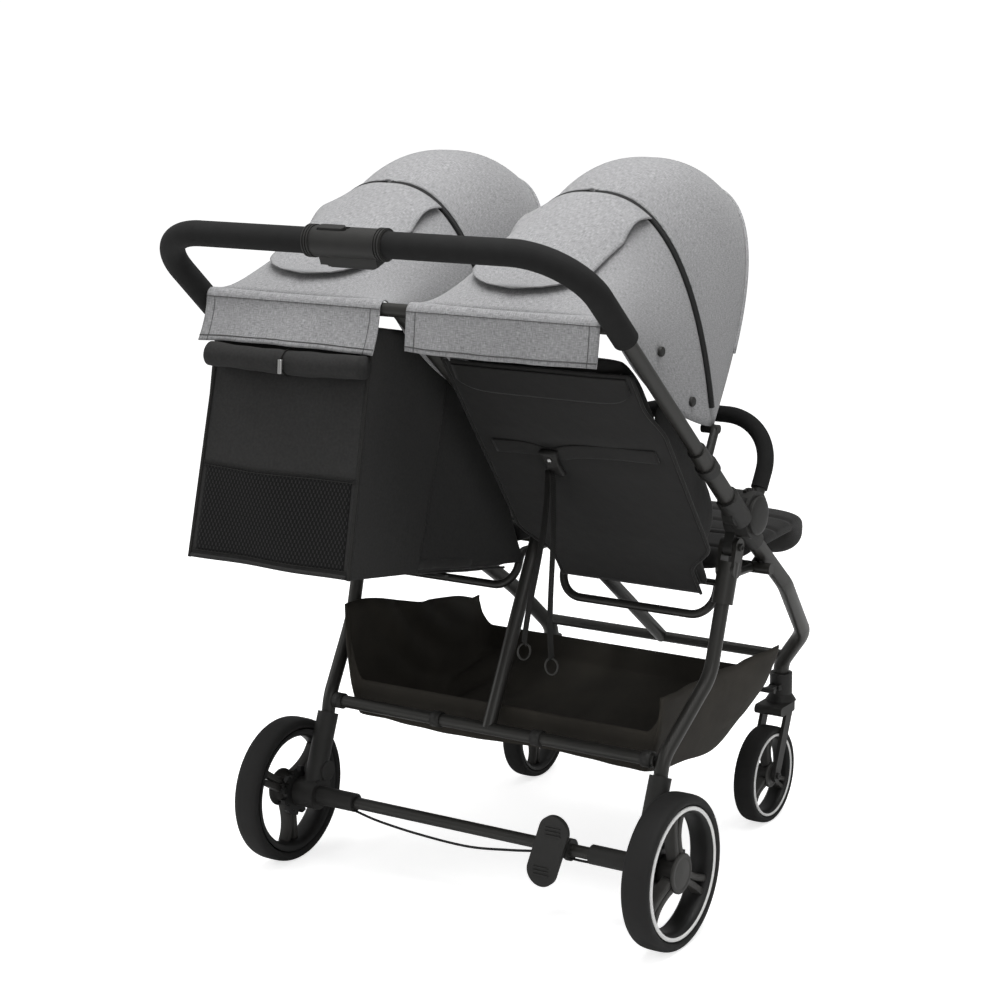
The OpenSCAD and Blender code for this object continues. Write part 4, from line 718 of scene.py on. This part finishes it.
for s, side in ((-1, "left"), (1, "right")):
    mid, fore = "hood_mid_" + side, "hood_front_" + side
    turned = slice(None) if s > 0 else slice(None, None, -1)
    q, t = arch_grid(25)
    grid = rear_cloth(q, t, s)[turned]
    rear = lay_grid("hood_rear_cloth_" + side, grid, heather, None, wall=0.0016, grow=-1)
    cloth_area(grid)
    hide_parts("hood_rear_" + side)
    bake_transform(rear)

    # Vent flap over the rear panel: sewn in along the middle bow, even in width down to its half-moon end.
    flap_half, moon_from, moon_high = 0.095, 0.34, 0.2202
    width, drop = np.meshgrid(np.linspace(-1, 1, 41), np.linspace(0, 1, 33), indexing="ij")
    level = 0.985 - 0.865 * drop
    half = flap_half * np.sqrt(np.clip(1 - (np.clip(moon_from - level, 0, 1) / moon_high) ** 2, 0, 1))
    share = np.clip(width * half / hood_half, -0.999, 0.999)
    q = np.arccos(np.sign(share) * np.abs(share) ** (1 / arch_power))
    curl = 0.015 * np.abs(width) ** 5 * np.sin(np.pi * np.clip(2.6 * drop + 0.1, 0, 1))
    flap = rear_cloth(q, level, s, lift=0.004 + 0.006 * drop ** 2 + curl)[:, ::-1][turned]
    vent = lay_grid("hood_vent_flap_" + side, flap, heather, None, wall=0.002, grow=1)
    cloth_area(flap)
    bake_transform(vent)

    # Domed front panel: from the middle bow to the front bow, fullest half-way.
    q, t = arch_grid(29)
    crown = mid_reach + (front_reach - mid_reach) * t + 0.016 * np.sin(np.pi * t)
    lean = mid_lean - 0.002 + (front_lean - mid_lean + 0.002) * t
    grid = bow(hood_half + 0.002 * np.sin(np.pi * t), crown, lean, q, s)[turned]
    dome = lay_grid("hood_dome_" + side, grid, heather, None, wall=0.0016, grow=-1)
    cloth_area(grid)
    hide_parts("hood_front_" + side)
    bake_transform(dome)

    q = np.linspace(math.pi - 0.05, 0.05, 90)
    for name, lean, reach, r, out, finish, body, at in (
            ("hood_zip_", zip_lean, mid_reach + 0.001, 0.0052, 0.001, zip_black, mid, q),
            ("hood_piping_", mid_lean - 0.020, mid_reach + 0.003, 0.0040, 0.001, heather, mid, q),
            ("hood_binding_", front_lean, front_reach + 0.0005, 0.0028, 0.0005, heather, fore, q[5:-5])):
        trim = carry(name + side, bow(hood_half + out, reach, lean, at, s), round_profile(r, 10), finish, body,
                     lead=(1, 0, 0.001))
    pull_at, pull_way = np.array((s * 0.3418, -0.029, 0.756)), np.array((s * 0.001, -0.001, -0.022))
    puller = carry("zip_puller_" + side, pull_at + np.linspace(0, 1, 8)[:, None] * pull_way,
                   flat_profile(0.006, 0.0022, 0.6), steel, mid, lead=(1, 0, 0))

    # Rear edge: a band of the same cloth folded over the cross tube, hanging behind it, with a stitched hem and ends.
    hang, fold_r, fold_share = 0.038 if s < 0 else 0.017, 0.0128, 0.35
    band_half, band_drop = 0.157, 0.0575
    x, d = np.meshgrid(np.linspace(-1, 1, 61), np.linspace(0, 1, 26), indexing="ij")
    wrap = np.clip(d / fold_share, 0, 1)
    fall = np.clip((d - fold_share) / (1 - fold_share), 0, 1)
    turn = math.radians(70) + wrap * math.radians(110)
    sway = 0.0035 * np.sin(3.1 * x + 1.3 * s) * fall + 0.0018 * np.sin(11 * x) * fall ** 2
    ey = bar_y + fold_r * np.cos(turn) - (hang - fold_r) * fall ** 1.5 + sway
    ez = bar_z + fold_r * np.sin(turn) - band_drop * fall + 0.004 * x ** 2 * fall * s
    grid = np.stack([s * (hood_x + x * band_half), ey, ez], -1)[turned][:, ::-1]
    band = lay_grid("hood_hem_band_" + side, grid, heather, "handle_frame", wall=0.002, grow=0)
    clear = np.array((0, -0.0012, 0))
    for k, line in enumerate((grid[:, 2], grid[:, 17], grid[3, :18], grid[-4, :18])):
        seam = carry(f"hem_seam_{side}_{k}", line + clear, round_profile(0.0009 if k == 0 else 0.00055, 6), stitch_grey,
                     "handle_frame", lead=(0.01, 1, 0.01))
    button = [(-0.002, 0.0072), (0.0018, 0.0072), (0.003, 0.006), (0.0026, 0.0042), (0.0034, 0.0001)]
    for k, (y, z, body) in enumerate(((-0.184, 0.887, "handle_frame"), (-0.092, 0.802, mid))):
        stud = turn_round(f"hood_stud_{side}_{k}", button, (s * 0.3412, y, z), (s, 0, 0), mould, body, 20)

# Left back, laid flat: the vent box stands at its end, charcoal cloth over a window of hexagon mesh, with piped
# edges and pleated sides. Its cover is rolled up and held by a toggle.
char, char_body, char_at, _ = new_finish("charcoal_cloth", Roughness=0.85)
char_cloud = char_at.noise(260.0, 3.0)
feed(char_body, "Base Color", char_cloud.blend((0.017, 0.0168, 0.0165), (0.034, 0.0335, 0.033)))
char_fold = char_at.noise(19.0, 2.0)
feed(char_body, "Normal", char_at.bump(char_fold, 0.3, 0.008))
net, net_body, net_at, net_uv = new_finish("hexagon_mesh", Roughness=0.8)
rows = [net_uv.node("Mapping", {"Vector": net_uv, "Location": shift, "Scale": (150.0, 87.0, 1.0)})
        for shift in ((0.0, 0.0, 0.0), (0.5, 0.5, 0.0))]
rows = [row.node("TexVoronoi", {"Vector": row, "Scale": 1.0, "Randomness": 0.0}) for row in rows]
shaded_holes = rows[0].math("MINIMUM", rows[1]) < 0.34
# The hexagon holes are painted near-black: painted shade for the dark inside of the box seen through the mesh.
feed(net_body, "Base Color", shaded_holes.blend((0.020, 0.020, 0.020), (0.0004, 0.0004, 0.0004)))
feed(net_body, "Normal", net_at.bump(shaded_holes * -1.0, 0.5, 0.0006))
box_in, box_out = -0.0346, -0.3194
box_low, box_top = np.array((-0.4190, 0.5609)), np.array((-0.345, 0.916))


def box_rear(u, v, out=0.0):
    """Rear wall of the vent box at share u across and v up: bowed out a little, creased from its corners."""
    yz = box_low + v[..., None] * (box_top - box_low)
    bowed = (0.006 * np.sin(np.pi * v) * np.cos(np.pi * u / 2) + 0.0025 * np.sin(7 * v + 4 * u) * (1 - u ** 2) + out)
    left = box_out - 0.008 + 0.018 * v
    x = left + (u + 1) / 2 * (box_in - left)
    return np.stack(np.broadcast_arrays(x, yz[..., 0] - bowed, yz[..., 1] - 0.2 * bowed), -1)


def fold_with_back(piece):
    """Gives a vent box piece its own copy of its mesh."""
    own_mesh(piece)


def vent_piece(name, grid, finish, wall=0.0016):
    """A sheet of the vent box over a grid of points, riding on the left back."""
    piece = lay_grid(name, grid, finish, "backrest_left", wall=wall, grow=0)
    cloth_area(grid)
    fold_with_back(piece)
    return piece


u, v = np.meshgrid(np.linspace(-1, 1, 49), np.linspace(0, 1, 61), indexing="ij")
rear_wall = vent_piece("vent_box_rear", box_rear(u, v), char)
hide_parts("vent_box_left")
u, v = np.meshgrid(np.linspace(-0.93, 0.93, 41), np.linspace(0.035, 0.39, 25), indexing="ij")
vent_piece("vent_window", box_rear(u, v, 0.0016), net, wall=0.0008)
side_low = np.array((-0.4172, 0.5609)), np.array((0.050, 0.4880))
side_top = box_top, np.array((-0.072, 0.862))
for s, x in ((1, box_in), (-1, box_out)):
    a, b = np.meshgrid(np.linspace(0, 1, 121), np.linspace(0, 1, 41), indexing="ij")
    low = side_low[0] + a[..., None] * (side_low[1] - side_low[0])
    top = side_top[0] + a[..., None] * (side_top[1] - side_top[0])
    yz = low + b[..., None] * (top - low)
    tuck = a - 0.37 - 0.36 * b
    step = 0.011 / (1 + np.exp(-tuck / 0.006)) + 0.009 * np.exp(-((tuck - 0.012) / 0.012) ** 2)
    pleat = -s * np.sin(np.pi * np.clip(b, 0.03, 0.97)) ** 0.5 * (step + 0.005 * np.sin(np.pi * a))
    grid = np.stack([x + pleat, yz[..., 0], yz[..., 1]], -1)
    vent_piece(f"vent_side_{s}", grid if s < 0 else grid[::-1], char)
    edge = box_rear(np.full(40, float(s)), np.linspace(0, 1, 40), 0.001)
    piping = carry(f"vent_piping_{s}", edge, round_profile(0.0028, 8), tape, "backrest_left", lead=(1, 0, 0.001))
    fold_with_back(piping)
for k, (level, r, finish) in enumerate(((0.012, 0.0032, char), (0.035, 0.0007, tape), (0.385, 0.0007, tape),
                                        (0.40, 0.0007, tape))):
    line = box_rear(np.linspace(-0.97, 0.97, 40), np.full(40, level), 0.0022)
    seam = carry(f"vent_seam_{k}", line, round_profile(r, 8), finish, "backrest_left", lead=(0.01, 1, 0.01))
    fold_with_back(seam)
roll_y, roll_z, roll_r, toggle_x, loop_r = -0.3765, 0.862, 0.0178, -0.164, 0.0172
u, a = np.meshgrid(np.linspace(0, 1, 61), np.linspace(0, 2 * math.pi, 29)[:-1], indexing="ij")
pinch = 0.0007 * np.exp(-((u - 0.5) / 0.03) ** 2)
r = roll_r + 0.0007 * np.sin(2 * a + 9 * u) - pinch + 0.0004 * np.sin(31 * u)
sag = 0.003 * np.sin(np.pi * u)
grid = np.stack([-0.308 + 0.278 * u, roll_y + r * np.cos(a), roll_z + r * np.sin(a) - sag], -1)
cover_roll = lay_grid("vent_cover_roll", grid[:, ::-1], char, "backrest_left", closed=True, capped=True)
fold_with_back(cover_roll)
a = np.linspace(0, 2 * math.pi, 33)
loop = np.stack([np.full(33, toggle_x), roll_y + loop_r * np.cos(a), 0.859 + loop_r * np.sin(a)], -1)
peg = np.array(((toggle_x, -0.3955, 0.866), (toggle_x, -0.3975, 0.846)))
for name, line, profile, finish, lead in (
        ("vent_toggle_loop", loop, flat_profile(0.006, 0.0013), tape, (1, 0, 0.01)),
        ("vent_toggle", peg, round_profile(0.0038, 10), steel, (0, 0, 1))):
    fold_with_back(carry(name, smooth_line(line, 34), profile, finish, "backrest_left", lead=lead))

# Strap tails: the loose ends of the right recline belt, limp tape that hangs from its lock, each with an oblong
# wire ring to pull on.
lock_y, lock_z = on_back(slopes["right"], 0.258, 0.0330)
ring_wide, ring_high = 0.0098, 0.0125
for k, (x, drop, sway, wide, turn) in enumerate(((0.124, 0.268, -0.034, 0.020, 0.9),
                                                 (0.136, 0.282, 0.006, 0.022, 0.2))):
    share = np.linspace(0, 1, 48)
    y = lock_y - 0.006 - 0.006 * k - 0.012 * np.sin(share * math.pi * 0.7)
    line = np.stack([x + sway * share ** 1.4 + 0.004 * np.sin(5 * share), y, lock_z - 0.006 - drop * share], -1)
    across = (math.cos(turn), math.sin(turn), 0.0)
    tail = carry(f"belt_tail_{k}", line, flat_profile(wide, 0.0016), tape, "backrest_right", lead=across)
    a = np.linspace(0, 2 * math.pi, 41)
    end = line[-1] + np.array((0, 0, -0.012))
    hoop = end + np.stack([ring_wide * np.cos(a) * across[0], ring_wide * np.cos(a) * across[1],
                           ring_high * np.sin(a)], -1)
    ring = carry(f"belt_ring_{k}", hoop, round_profile(0.0017, 8), coat, "backrest_right",
                 lead=(-across[1], across[0], 0.0), capped=False)
    for piece, slot in ((tail, "webbing"), (ring, "steel")):
        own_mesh(piece)
